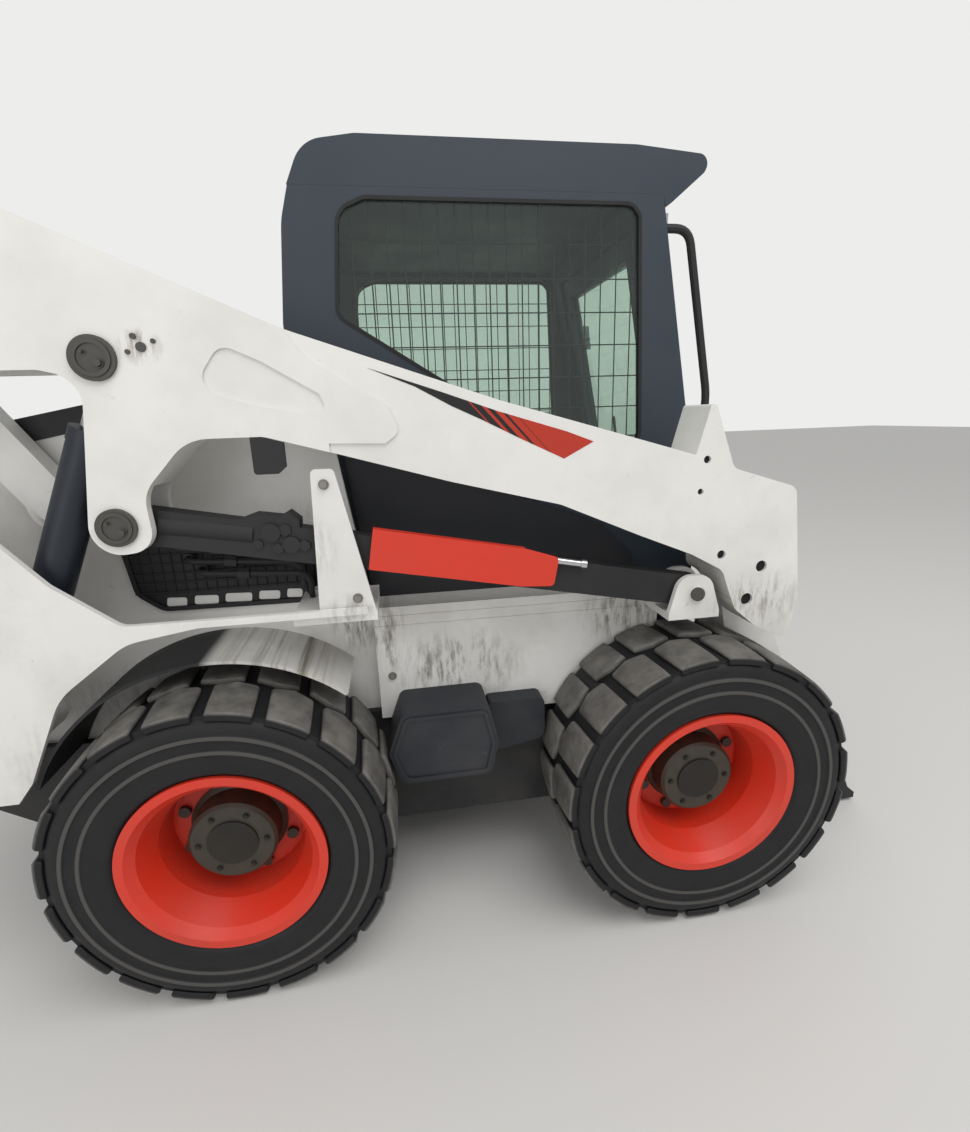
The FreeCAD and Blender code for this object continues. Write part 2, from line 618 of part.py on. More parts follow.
leg_outline = [(720, 1215, 20), (900, 1215, 30), (945, 1000, 80), (1020, 700, 120), (1225, 270, 40),
               (1190, 165, 50), (1110, 175, 40), (860, 640, 120), (800, 930, 80), (745, 960, 30)]
shoulder_outline = [(745, 960, 20), (720, 1180, 20), (880, 1215, 20), (925, 960, 30), (900, 870, 20),
                    (810, 890, 20)]
beam_outline = [(-302, 1250), (-302, 1392), (-176, 1387), (-143, 1412, 20), (-166, 1469), (-255, 1523),
                (-333, 1574), (-440, 1720), (1000, 1720), (1000, 700), (-302, 700)]
pocket_outline = [(-560, 1530, 35), (-505, 1605, 35), (-427, 1569), (-312, 1499), (-299, 1465, 12),
                  (-353, 1460), (-439, 1477), (-529, 1504)]
beam_step = 6.0
pocket_depth = 5.0
hole_depth = 28.0
hole_table = [((804, 1021), 16), ((769, 930), 17), ((683, 1062), 12), ((624, 1315), 10), ((611, 1234), 8)]
arm_cuts = [side_plate(slot_outline, fork_inner_y, fork_outer_y),
            side_plate(beam_outline, arm_outer_y - beam_step, arm_outer_y + 1),
            side_plate(pocket_outline, arm_outer_y - pocket_depth, arm_outer_y + 1)]
for center, radius in hole_table:
    arm_cuts.append(cross_pin(center, radius, arm_outer_y - beam_step - hole_depth, arm_outer_y))
arm_beam = less(side_plate(arm_outline, arm_inner_y, arm_outer_y), arm_cuts)
front_leg = side_plate(leg_outline, leg_inner_y, leg_outer_y)
shoulder = side_plate(shoulder_outline, leg_outer_y - 10, arm_inner_y + 10)
tilt_pin_radius = 22.0
coupler_stub = cross_pin(coupler_pin, leg_pin_radius, leg_inner_y - 49, leg_inner_y + 10)
tilt_stub = cross_pin(tilt_base_pin, tilt_pin_radius, tilt_cylinder_y - 41, leg_inner_y + 10)
link_boss = cross_pin(rear_link_arm_pin, 55, rear_link_outer_y + moving_gap, arm_inner_y + 5)
leg_pin = cross_pin(control_rear_pin, leg_pin_radius, fork_inner_y - 5, fork_outer_y + 5)
side_arm = joined([arm_beam, front_leg, shoulder, coupler_stub, tilt_stub, link_boss, leg_pin])
rear_tube = cross_pin((-1130, 1760), 45, -arm_inner_y - 5, arm_inner_y + 5)
front_tube = cross_pin((945, 600), 42, -leg_inner_y - 5, leg_inner_y + 5)
save("lift_arms", joined([side_arm, mirrored(side_arm), rear_tube, front_tube]))

cap_thickness = 10.0
cap_table = [(lift_rod_pin, 45), (control_rear_pin, 42), (rear_link_arm_pin, 46)]
caps = [both_sides(cross_pin(pin, radius, arm_outer_y, arm_outer_y + cap_thickness))
        for pin, radius in cap_table]
save("pin_caps", Part.makeCompound(caps))

# Stop plates that hang from the outer wall of the arms over the control links
stop_thickness = 13.5
stop_reach = side_plate([(-470, 1330, 8), (-470, 1500), (-400, 1500), (-400, 1345), (-418, 1330)],
                        arm_outer_y - stop_thickness, arm_outer_y)
stop_limit = side_plate([(-600, 1412 - seat), (-448, 1412 - seat), (-380, 1392.6 - seat), (-380, 1300),
                         (-600, 1300)], arm_outer_y - stop_thickness - 1, arm_outer_y + 1)
save("arm_stops", both_sides(stop_reach.common(stop_limit)))

# Control links, with the stored arm support on the right one
link_half = 42.0
eye_radius = 50.0
pad_corners = [(1045, 36), (1048, 60), (1075, 76), (1092, 62), (1150, 60), (1185, 40), (1185, 30),
               (1045, 30)]
link_step = side_plate([beside(control_front_pin, control_rear_pin, distance, offset)
                        for distance, offset in pad_corners], link_inner_y, link_outer_y)
control = joined([bar(control_front_pin, control_rear_pin, link_half, link_inner_y, link_outer_y), link_step,
                  cross_pin(control_front_pin, eye_radius - 8, link_inner_y, link_outer_y),
                  cross_pin(control_rear_pin, eye_radius, link_inner_y, link_outer_y)])
front_eye = cross_pin(control_front_pin, ear_pin_radius + pin_clearance, link_inner_y - 1, link_outer_y + 1)
rear_eye = cross_pin(control_rear_pin, leg_pin_radius + pin_clearance, link_inner_y - 1, link_outer_y + 1)
save("control_links", both_sides(less(control, [front_eye, rear_eye])))

support_rise = 18.0
support_front = toward(control_front_pin, control_rear_pin, 400)
support_rear = toward(control_front_pin, control_rear_pin, 870)
support = bar((support_front[0], support_front[1] + support_rise),
              (support_rear[0], support_rear[1] + support_rise), 52, link_outer_y, link_outer_y + 27)
save("arm_support", mirrored(support))

# Rear links
rear_link_half = 50.0
rear_eye_radius = 60.0
rear_link = joined([bar(rear_link_frame_pin, rear_link_arm_pin, rear_link_half, rear_link_inner_y,
                        rear_link_outer_y),
                    cross_pin(rear_link_frame_pin, rear_eye_radius, rear_link_inner_y, rear_link_outer_y),
                    cross_pin(rear_link_arm_pin, rear_eye_radius, rear_link_inner_y, rear_link_outer_y),
                    cross_pin(rear_link_arm_pin, 34, rear_link_outer_y - 1,
                               rear_link_outer_y + moving_gap - seat)])
frame_eye = cross_pin(rear_link_frame_pin, link_pin_radius + pin_clearance, rear_link_inner_y - 1,
                      rear_link_outer_y + 1)
save("rear_links", both_sides(less(rear_link, [frame_eye])))


def cylinder_pair(base_pin, rod_pin, y, size):
    """Barrel with its base eye, and rod with its far eye, of one hydraulic cylinder."""
    length = math.hypot(rod_pin[0] - base_pin[0], rod_pin[1] - base_pin[1])
    gland = length - size["bare rod"]
    barrel = rod(toward(base_pin, rod_pin, 30), toward(base_pin, rod_pin, gland), size["barrel radius"], y)
    eye = cross_pin(base_pin, size["eye radius"], y - size["base half"], y + size["base half"])
    bore = rod(toward(base_pin, rod_pin, 62), rod_pin, size["rod radius"] + pin_clearance, y)
    pin_hole = cross_pin(base_pin, size["pin radius"] + pin_clearance, y - 60, y + 60)
    stem = rod(toward(base_pin, rod_pin, 70), toward(base_pin, rod_pin, length - 15), size["rod radius"], y)
    rod_eye = cross_pin(rod_pin, size["rod eye radius"], y - size["rod half"], y + size["rod half"])
    return less(joined([barrel, eye]), [bore, pin_hole]), joined([stem, rod_eye])


lift_size = {"bare rod": 160.0, "barrel radius": 44.0, "eye radius": 50.0, "base half": 42.0,
             "rod radius": 25.0, "pin radius": link_pin_radius, "rod eye radius": 46.0, "rod half": 40.0}
lift_barrel, lift_rod = cylinder_pair(lift_base_pin, lift_rod_pin, lift_cylinder_y, lift_size)
save("lift_barrels", both_sides(lift_barrel))
save("lift_rods", both_sides(lift_rod))

tilt_size = {"bare rod": 90.0, "barrel radius": 38.0, "eye radius": 38.0, "base half": 34.0,
             "rod radius": 20.0, "pin radius": tilt_pin_radius, "rod eye radius": 34.0, "rod half": 22.0}
tilt_barrel, tilt_rod = cylinder_pair(tilt_base_pin, tilt_rod_pin, tilt_cylinder_y, tilt_size)
save("tilt_barrels", both_sides(tilt_barrel))
save("tilt_rods", both_sides(tilt_rod))

# Quick coupler
coupler_half = leg_outer_y - 45.0
lug_outer_y = leg_inner_y - 15.0
lug_inner_y = lug_outer_y - 28.0
lug_outline = [(1118, 190, 40), (1150, 430, 30), (1215, 466, 20), (1290, 290), (1385, 70), (1290, 92, 20)]
lug_hole = cross_pin(coupler_pin, leg_pin_radius + pin_clearance, lug_inner_y - 1, lug_outer_y + 1)
lug = less(side_plate(lug_outline, lug_inner_y, lug_outer_y), [lug_hole])
face_outline = [(1200, 490), (1230, 500), (1418, 62), (lip_x, 34), (lip_x, 12), (1402, 12), (1380, 60)]
face = side_plate(face_outline, -coupler_half, coupler_half)
face_hole = side_plate([(1100, 180), (1100, 380), (1500, 380), (1500, 180)], -coupler_half + 270,
                       coupler_half - 270)
save("quick_coupler", joined([less(face, [face_hole]), lug, mirrored(lug)]))
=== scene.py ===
import math

import bpy
from mathutils import Matrix, Vector


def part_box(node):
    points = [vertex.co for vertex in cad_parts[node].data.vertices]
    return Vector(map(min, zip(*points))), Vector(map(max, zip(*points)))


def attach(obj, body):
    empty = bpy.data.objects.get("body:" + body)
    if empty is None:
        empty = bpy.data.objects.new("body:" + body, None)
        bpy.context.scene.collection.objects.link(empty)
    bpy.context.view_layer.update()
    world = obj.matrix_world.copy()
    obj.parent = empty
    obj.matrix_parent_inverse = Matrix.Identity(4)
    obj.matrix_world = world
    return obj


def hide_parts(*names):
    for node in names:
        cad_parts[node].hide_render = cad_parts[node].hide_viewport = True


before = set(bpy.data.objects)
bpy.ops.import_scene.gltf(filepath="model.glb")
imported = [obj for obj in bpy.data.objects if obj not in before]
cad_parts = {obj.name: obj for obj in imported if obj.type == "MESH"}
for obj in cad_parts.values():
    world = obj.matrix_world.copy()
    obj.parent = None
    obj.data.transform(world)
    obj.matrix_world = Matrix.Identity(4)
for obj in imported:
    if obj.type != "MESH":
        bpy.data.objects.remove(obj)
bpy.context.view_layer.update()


# Camera
# A phone held at chest height close to the loader's right side.
# Its short lens is what makes the near tyres large and the cab lean away.
camera_place = (-0.1631, -2.115, 1.4425)
camera_yaw = -8.84
camera_pitch = 15.09
camera_roll = -1.93
focal_pixels = 560.0
photo_height = 1132.0

yaw, pitch, roll = (math.radians(angle) for angle in (camera_yaw, camera_pitch, camera_roll))
ahead = Vector((-math.sin(yaw) * math.cos(pitch), math.cos(yaw) * math.cos(pitch), -math.sin(pitch)))
level = Vector((math.cos(yaw), math.sin(yaw), 0.0))
upright = level.cross(ahead)
right = level * math.cos(roll) + upright * math.sin(roll)
up = upright * math.cos(roll) - level * math.sin(roll)
turn = Matrix((right, up, -ahead)).transposed().to_4x4()

bpy.ops.object.camera_add()
camera = bpy.context.object
camera.name = "camera"
camera.matrix_world = Matrix.Translation(camera_place) @ turn
camera.data.sensor_fit = "VERTICAL"
camera.data.sensor_height = 36.0
camera.data.lens = focal_pixels / photo_height * 36.0
camera.data.clip_start = 0.02
bpy.context.scene.camera = camera
bpy.context.scene.view_settings.view_transform = "Standard"


# Studio
# A wide pale floor and an even pale surround stand in for the yard and the overcast sky.
# One broad lamp overhead and a weaker one low at the camera's side give soft shadows.
def linear(hex_colour):
    """One sRGB hex colour as the linear values that shaders take."""
    channels = [int(hex_colour[i:i + 2], 16) / 255.0 for i in (1, 3, 5)]
    return tuple([c / 12.92 if c <= 0.04045 else ((c + 0.055) / 1.055) ** 2.4 for c in channels] + [1.0])


def add_node(tree, kind, links=None, **settings):
    """Adds a shader node, sets its properties, and sets or links its inputs."""
    made = tree.nodes.new(kind)
    for name, value in settings.items():
        setattr(made, name, value)
    for socket, value in (links or {}).items():
        if isinstance(value, bpy.types.NodeSocket):
            tree.links.new(value, made.inputs[socket])
        else:
            made.inputs[socket].default_value = value
    return made


def blank_material(name):
    material = bpy.data.materials.new(name)
    material.use_nodes = True
    material.node_tree.nodes.clear()
    return material


floor_colour = "#D6D5D2"
surround_colour = "#EDEDEC"
surround_light = 0.62
floor_size = 60.0

bpy.ops.mesh.primitive_plane_add(size=floor_size, location=(0, 0, 0))
floor = bpy.context.object
floor.name = "studio_floor"
floor_paint = blank_material("studio_floor_paint")
tree = floor_paint.node_tree
shell = add_node(tree, "ShaderNodeBsdfPrincipled", {"Base Color": linear(floor_colour), "Roughness": 0.7})
add_node(tree, "ShaderNodeOutputMaterial", {"Surface": shell.outputs["BSDF"]})
floor.data.materials.append(floor_paint)

world = bpy.data.worlds.new("studio_surround")
bpy.context.scene.world = world
world.use_nodes = True
tree = world.node_tree
tree.nodes.clear()
path = add_node(tree, "ShaderNodeLightPath")
seen = add_node(tree, "ShaderNodeMath", {0: path.outputs["Is Camera Ray"], 1: path.outputs["Is Transmission Ray"]},
                operation="MAXIMUM")
light = add_node(tree, "ShaderNodeBackground", {"Color": linear("#FFFFFF"), "Strength": surround_light})
backdrop = add_node(tree, "ShaderNodeBackground", {"Color": linear(surround_colour), "Strength": 1.0})
either = add_node(tree, "ShaderNodeMixShader", {0: seen.outputs[0], 1: light.outputs[0], 2: backdrop.outputs[0]})
add_node(tree, "ShaderNodeOutputWorld", {"Surface": either.outputs[0]})


def soft_lamp(name, place, aim, size, watts):
    bpy.ops.object.light_add(type="AREA", location=place)
    lamp = bpy.context.object
    lamp.name = name
    lamp.rotation_euler = (Vector(aim) - Vector(place)).to_track_quat("-Z", "Y").to_euler()
    lamp.data.size = size
    lamp.data.energy = watts
    return lamp


soft_lamp("overhead_lamp", (1.5, -3.5, 6.5), (0, 0, 0.8), 5.0, 225.0)
soft_lamp("side_lamp", (-3.5, -6.0, 2.4), (0, 0, 1.0), 3.5, 70.0)


# Painted steelwork
# Body, arms, fenders and rear links are welded steel plate in sprayed white enamel,
# semi-gloss when new and here dulled by yard dust, mud splashes and rust at rubbed edges.
enamel_white = "#E4E3DF"
yard_dust = "#A39C90"
rub_mark = "#625D57"
mud = "#6E695C"
rust = "#6B4630"
dust_patch_m = 0.22
rub_grain_m = 0.012
streak_width_m = 0.018


def paint(name, colour, dust_colour, dust_amount, roughness, clean_height, metallic=0.0, stains=(),
          white_from=None):
    """Sprayed paint with dust that thickens towards the ground, small rubbed marks, and stains.
    A stain is (colour, centre x, centre z, half length, half height, strength), seen from the side."""
    material = blank_material(name)
    tree = material.node_tree
    place = add_node(tree, "ShaderNodeTexCoord")
    split = add_node(tree, "ShaderNodeSeparateXYZ", {0: place.outputs["Object"]})
    low = add_node(tree, "ShaderNodeMapRange", {"Value": split.outputs["Z"], "From Min": 0.0,
                                                "From Max": clean_height, "To Min": 1.0, "To Max": 0.25})
    patches = add_node(tree, "ShaderNodeTexNoise", {"Vector": place.outputs["Object"], "Scale": 1 / dust_patch_m,
                                                    "Detail": 6.0, "Roughness": 0.62})
    patchy = add_node(tree, "ShaderNodeMapRange", {"Value": patches.outputs["Fac"], "From Min": 0.42,
                                                   "From Max": 0.72, "To Min": 0.0, "To Max": dust_amount})
    overlay_share = add_node(tree, "ShaderNodeMath", {0: patchy.outputs[0], 1: low.outputs[0]}, operation="MULTIPLY")
    grains = add_node(tree, "ShaderNodeTexNoise", {"Vector": place.outputs["Object"], "Scale": 0.25 / rub_grain_m,
                                                   "Detail": 8.0, "Roughness": 0.75})
    specks = add_node(tree, "ShaderNodeMapRange", {"Value": grains.outputs["Fac"], "From Min": 0.64,
                                                   "From Max": 0.70, "To Min": 0.0, "To Max": dust_amount})
    rubbed = add_node(tree, "ShaderNodeMath", {0: specks.outputs[0], 1: low.outputs[0]}, operation="MULTIPLY")
    coat = linear(colour)
    if white_from:
        front = add_node(tree, "ShaderNodeMapRange", {"Value": split.outputs["X"], "From Min": white_from[0],
                                                      "From Max": white_from[0] + 0.03})
        two_tone = add_node(tree, "ShaderNodeMix", {"Factor": front.outputs[0], "A": coat,
                                                    "B": linear(white_from[1])}, data_type="RGBA")
        coat = two_tone.outputs["Result"]
    dusted = add_node(tree, "ShaderNodeMix", {"Factor": overlay_share.outputs[0], "A": coat,
                                              "B": linear(dust_colour)}, data_type="RGBA")
    worn = add_node(tree, "ShaderNodeMix", {"Factor": rubbed.outputs[0], "A": dusted.outputs["Result"],
                                            "B": linear(rub_mark)}, data_type="RGBA")
    for stain_colour, x, z, half_length, half_height, strength in stains:
        shifted = add_node(tree, "ShaderNodeVectorMath", {0: place.outputs["Object"], 1: (-x, 0.0, -z)},
                           operation="ADD")
        scaled = add_node(tree, "ShaderNodeVectorMath", {0: shifted.outputs[0],
                                                         1: (1 / half_length, 0.0, 1 / half_height)},
                          operation="MULTIPLY")
        reach = add_node(tree, "ShaderNodeVectorMath", {0: scaled.outputs[0]}, operation="LENGTH")
        area = add_node(tree, "ShaderNodeMapRange", {"Value": reach.outputs["Value"], "From Min": 0.35,
                                                     "From Max": 1.0, "To Min": 1.0, "To Max": 0.0})
        runs = add_node(tree, "ShaderNodeVectorMath", {0: place.outputs["Object"],
                                                       1: (1 / streak_width_m, 1.0, 0.22 / streak_width_m)},
                        operation="MULTIPLY")
        streaks = add_node(tree, "ShaderNodeTexNoise", {"Vector": runs.outputs[0], "Scale": 1.0, "Detail": 5.0,
                                                        "Roughness": 0.7})
        strokes = add_node(tree, "ShaderNodeMapRange", {"Value": streaks.outputs["Fac"], "From Min": 0.46,
                                                        "From Max": 0.68, "To Min": 0.0, "To Max": strength})
        marked = add_node(tree, "ShaderNodeMath", {0: area.outputs[0], 1: strokes.outputs[0]}, operation="MULTIPLY")
        worn = add_node(tree, "ShaderNodeMix", {"Factor": marked.outputs[0], "A": worn.outputs["Result"],
                                                "B": linear(stain_colour)}, data_type="RGBA")
    dull = add_node(tree, "ShaderNodeMapRange", {"Value": patches.outputs["Fac"], "From Min": 0.35, "From Max": 0.7,
                                                 "To Min": roughness, "To Max": roughness + 0.25})
    ripple = add_node(tree, "ShaderNodeBump", {"Height": grains.outputs["Fac"], "Strength": 0.05,
                                               "Distance": 0.001})
    shell = add_node(tree, "ShaderNodeBsdfPrincipled", {"Base Color": worn.outputs["Result"],
                                                        "Roughness": dull.outputs[0], "Metallic": metallic,
                                                        "Normal": ripple.outputs[0]})
    add_node(tree, "ShaderNodeOutputMaterial", {"Surface": shell.outputs["BSDF"]})
    return material


def wear(material, *nodes):
    """Gives whole CAD nodes their finish."""
    for node in nodes:
        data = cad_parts[node].data
        data.materials.clear()
        data.materials.append(material)


white_enamel = paint("sprayed_white_enamel", enamel_white, yard_dust, 0.55, 0.38, 1.6,
                     stains=((rust, -0.66, 1.60, 0.05, 0.04, 0.9), (mud, 0.80, 0.92, 0.16, 0.10, 0.7),
                             (mud, -0.30, 0.90, 0.09, 0.14, 1.0), (mud, -0.85, 0.66, 0.3, 0.18, 0.5),
                             (mud, -0.40, 1.15, 0.12, 0.10, 0.4)))
wear(white_enamel, "uprights", "rear_fenders", "tailgate", "lift_arms", "rear_links", "link_ears")
splashed_enamel = paint("mud_splashed_white_enamel", enamel_white, yard_dust, 0.6, 0.4, 1.4,
                        stains=((mud, -0.02, 0.73, 0.22, 0.13, 1.0), (mud, -0.24, 0.85, 0.10, 0.16, 1.0),
                                (mud, 0.50, 0.86, 0.16, 0.12, 1.0), (rust, 0.57, 0.90, 0.05, 0.05, 0.7)))
wear(splashed_enamel, "side_sills")


# Seams and bolts of the body
# The sills have a folded seam below their top edge, and zinc-plated hex bolts hold fenders, tailgate
# and covers; both are the small shadow lines that break up the large white faces.
sill_face_y = 0.600
seam_height = 0.006
seam_depth = 0.003


def rounded(corners, steps=5):
    """Points along an outline of (x, z) corners; a corner's third value is its rounding radius."""
    points = []
    for index, corner in enumerate(corners):
        here = Vector(corner[:2])
        if len(corner) == 2:
            points.append(here)
            continue
        back = (Vector(corners[index - 1][:2]) - here).normalized()
        onward = (Vector(corners[(index + 1) % len(corners)][:2]) - here).normalized()
        half = back.angle(onward) / 2.0
        center = here + (back + onward).normalized() * (corner[2] / math.sin(half))
        first = here + back * (corner[2] / math.tan(half)) - center
        last = here + onward * (corner[2] / math.tan(half)) - center
        points += [center + first.slerp(last, step / steps) * corner[2] for step in range(steps + 1)]
    return points


def plate(name, corners, near, far, ring_width=0.0):
    """Flat piece with a side view outline, between two distances from the machine's centre plane.
    A ring width leaves only a border of that width."""
    points = rounded(corners)
    bpy.ops.object.select_all(action="DESELECT")
    bpy.ops.mesh.primitive_circle_add(vertices=len(points), fill_type="NGON")
    piece = bpy.context.object
    piece.name = name
    for vertex, point in zip(piece.data.vertices, points):
        vertex.co = (point.x, near, point.y)
    bpy.ops.object.mode_set(mode="EDIT")
    bpy.ops.mesh.select_all(action="SELECT")
    if ring_width:
        bpy.ops.mesh.inset(thickness=ring_width)
        bpy.ops.mesh.delete(type="FACE")
        bpy.ops.mesh.select_all(action="SELECT")
    bpy.ops.mesh.extrude_region_move(TRANSFORM_OT_translate={"value": (0, far - near, 0)})
    bpy.ops.mesh.select_all(action="SELECT")
    bpy.ops.mesh.normals_make_consistent(inside=False)
    bpy.ops.object.mode_set(mode="OBJECT")
    return piece


def rod(name, first, last, radius, sides=16):
    """Round bar from one point to another; six sides make a hex head."""
    first, last = Vector(first), Vector(last)
    along = last - first
    bpy.ops.object.select_all(action="DESELECT")
    bpy.ops.mesh.primitive_cylinder_add(vertices=sides, radius=radius, depth=along.length)
    piece = bpy.context.object
    piece.name = name
    piece.data.transform(Matrix.Translation((first + last) / 2) @ along.to_track_quat("Z", "Y").to_matrix().to_4x4())
    return piece


def one(name, pieces):
    """Joins pieces into one object."""
    bpy.ops.object.select_all(action="DESELECT")
    for piece in pieces:
        piece.select_set(True)
    bpy.context.view_layer.objects.active = pieces[0]
    if len(pieces) > 1:
        bpy.ops.object.join()
    pieces[0].name = name
    return pieces[0]


def other_side(piece, name):
    """Mirrored copy, with its own mesh, on the machine's other side."""
    copy = piece.copy()
    copy.data = piece.data.copy()
    copy.name = name
    bpy.context.collection.objects.link(copy)
    copy.data.transform(Matrix.Scale(-1.0, 4, (0, 1, 0)))
    copy.data.flip_normals()
    return copy


def place_on(piece, body, material, smooth_angle=32.0):
    """Gives a finished piece its material, smooths its rounded faces and fixes it to its body."""
    piece.data.materials.clear()
    piece.data.materials.append(material)
    bpy.ops.object.select_all(action="DESELECT")
    piece.select_set(True)
    bpy.context.view_layer.objects.active = piece
    bpy.ops.object.shade_smooth_by_angle(angle=math.radians(smooth_angle))
    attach(piece, body)
    return piece


def bolts(name, places, radius, height, outward):
    """Hex heads with a washer, standing on (x, y, z) places."""
    heads = []
    outward = Vector(outward)
    for spot in places:
        spot = Vector(spot)
        heads.append(rod(name, spot, spot + outward * height * 0.25, radius * 1.35, 20))
        heads.append(rod(name, spot + outward * height * 0.25, spot + outward * height, radius, 6))
    return one(name, heads)


seam = plate("sill_seam_right", [(-0.246, 0.898), (-0.246, 0.904), (0.575, 0.899), (0.575, 0.893)],
             -sill_face_y, -sill_face_y - seam_depth)
lower_seam = plate("sill_seam_low", [(-0.246, 0.872), (-0.246, 0.875), (0.590, 0.870), (0.590, 0.867)],
                   -sill_face_y, -sill_face_y - seam_depth)
seam = one("sill_seam_right", [seam, lower_seam])
place_on(other_side(seam, "sill_seam_left"), "chassis", splashed_enamel)
place_on(seam, "chassis", splashed_enamel)

zinc = paint("zinc_plated_steel", "#8E8C86", "#6F675B", 0.6, 0.4, 1.6, metallic=0.6)
fender_face_y = 0.800
body_bolts = bolts("body_bolts_right", [(-0.272, -0.7765, 1.02), (-0.325, -0.7765, 1.30), (-1.30, -fender_face_y, 1.22),
                                        (-1.30, -fender_face_y, 0.72), (-1.16, -fender_face_y, 1.22),
                                        (0.50, -sill_face_y, 0.66), (-0.21, -sill_face_y, 0.72)],
                   0.009, 0.010, (0, -1, 0))
place_on(other_side(body_bolts, "body_bolts_left"), "chassis", zinc)
place_on(body_bolts, "chassis", zinc)


# Frame, links, grilles and coupler
# Thick steel in satin black paint that the yard's dust has turned to dark grey.
satin_black = paint("satin_black_chassis_paint", "#191A1D", "#5E5A54", 0.45, 0.5, 1.2)
wear(satin_black, "main_frame", "rear_hood", "control_links", "tilt_barrels", "quick_coupler", "arm_stops",
     "handrails", "rear_bumper", "axle_tubes", "side_grilles", "tailgate_grille", "side_screens")
worn_steel = paint("worn_pin_steel", "#4C4B47", "#6B655B", 0.6, 0.45, 1.8, metallic=0.4)
wear(worn_steel, "pin_caps")


# Pin ends
# Each pin cap has a turned rim and is held by one keeper bolt; the control link's pin shows in its ear.
arm_face_y = 0.790
cap_face_y = 0.800
for name, x, z, radius in (("lift_rod", -0.750, 1.580, 0.045), ("arm_hinge", -0.770, 1.230, 0.042),
                           ("rear_link", -1.185, 1.582, 0.046)):
    circle = [(x + radius * 0.82 * math.cos(step * math.pi / 12), z + radius * 0.82 * math.sin(step * math.pi / 12))
              for step in range(24)]
    rim = plate("pin_rim_" + name, circle, -cap_face_y, -cap_face_y - 0.003, ring_width=radius * 0.18)
    keeper = bolts("pin_keeper", [(x + 0.012, -cap_face_y, z - 0.010)], 0.008, 0.009, (0, -1, 0))
    grease = rod("grease_nipple", (x - 0.014, -cap_face_y, z + 0.012), (x - 0.014, -cap_face_y - 0.010, z + 0.012),
                 0.0035, 10)
    pin_end = one("pin_end_" + name + "_right", [rim, keeper, grease])
    place_on(other_side(pin_end, "pin_end_" + name + "_left"), "lift_arm", worn_steel)
    place_on(pin_end, "lift_arm", worn_steel)


# Studs and plugs of the arm
# Grease studs gather rust beside the upper pin, rubber plugs sit deep in the five drilled holes of the
# front plate, and the control link's pin ends in the ear.
studs = one("grease_studs_right", [rod("stud", (x, -arm_face_y + 0.001, z), (x, -arm_face_y - 0.004, z), size, 12)
                                   for x, z, size in ((-0.656, 1.600, 0.010), (-0.668, 1.621, 0.006),
                                                      (-0.631, 1.611, 0.005), (-0.683, 1.591, 0.005))])
place_on(other_side(studs, "grease_studs_left"), "lift_arm", worn_steel)
place_on(studs, "lift_arm", worn_steel)
step_face_y = 0.784
hole_plugs = one("hole_plugs_right", [rod("plug", (x, -step_face_y + 0.016, z), (x, -step_face_y + 0.008, z),
                                          size - 0.0004, 24)
                                      for x, z, size in ((0.804, 1.021, 0.016), (0.769, 0.930, 0.017),
                                                         (0.683, 1.062, 0.012), (0.624, 1.315, 0.010),
                                                         (0.611, 1.234, 0.008))])
plug_rubber = paint("black_plug_rubber", "#0E0F11", "#2A2927", 0.3, 0.7, 1.2)
place_on(other_side(hole_plugs, "hole_plugs_left"), "lift_arm", plug_rubber)
place_on(hole_plugs, "lift_arm", plug_rubber)
ear_face_y = 0.786
ear_pin = one("ear_pin_right", [rod("ear_pin", (0.620, -ear_face_y + 0.001, 0.958), (0.620, -ear_face_y - 0.007, 0.958),
                                    0.019, 28)])
place_on(other_side(ear_pin, "ear_pin_left"), "chassis", worn_steel)
place_on(ear_pin, "chassis", worn_steel)


# Castings of the control link
# The link's rear half is a forging: a round back, bosses and hex unions of the load valve, in the
# same satin black.
link_skin_y = 0.752
bosses = [rod("round_back", (-0.700, -link_skin_y + 0.018, 1.222), (-0.500, -link_skin_y + 0.018, 1.188), 0.028, 32)]
for x, z, size, height, sides in ((-0.459, 1.192, 0.022, 0.010, 28), (-0.426, 1.196, 0.015, 0.008, 6),
                                  (-0.415, 1.160, 0.020, 0.010, 28), (-0.385, 1.156, 0.014, 0.009, 6),
                                  (-0.350, 1.143, 0.016, 0.008, 24), (-0.446, 1.152, 0.013, 0.009, 6),
                                  (-0.490, 1.165, 0.012, 0.007, 6), (-0.325, 1.150, 0.010, 0.006, 6)):
    bosses.append(rod("boss", (x, -link_skin_y, z), (x, -link_skin_y - height, z), size, sides))
forging = one("control_link_castings_right", bosses)
place_on(other_side(forging, "control_link_castings_left"), "control_links", satin_black)
place_on(forging, "control_links", satin_black)


# Side grille mesh
# Expanded steel mesh stands before the fins of the engine's side vents, held by a rolled border,
# with a row of bright slots below where the white wall shows through.
wall_face_y = 0.555
grille_wire = 0.0022
grille_pitch = 0.026
grille_outline = [(-0.880, 1.150, 0.02), (-0.396, 1.135, 0.02), (-0.410, 0.955, 0.035), (-0.800, 0.960, 0.05),
                  (-0.862, 1.010, 0.04)]
panel = plate("grille_panel_right", grille_outline, -wall_face_y + 0.0005, -wall_face_y - 0.006)
wires = [plate("grille_border", grille_outline, -wall_face_y - 0.006, -wall_face_y - 0.014, ring_width=0.012)]
for step in range(17):
    x = -0.840 + grille_pitch * step
    foot = 1.006 if x > -0.84 else 1.02
    wires.append(rod("grille_wire", (x, -wall_face_y - 0.008, foot), (x, -wall_face_y - 0.008, 1.135), grille_wire, 8))
for step in range(5):
    z = 1.012 + grille_pitch * step
    start = -0.862 - max(0.0, z - 1.03) * 0.12
    wires.append(rod("grille_wire", (start, -wall_face_y - 0.0118, z), (-0.402, -wall_face_y - 0.0118, z),
                     grille_wire, 8))
grille_mesh = one("side_grille_mesh_right", [panel] + wires)
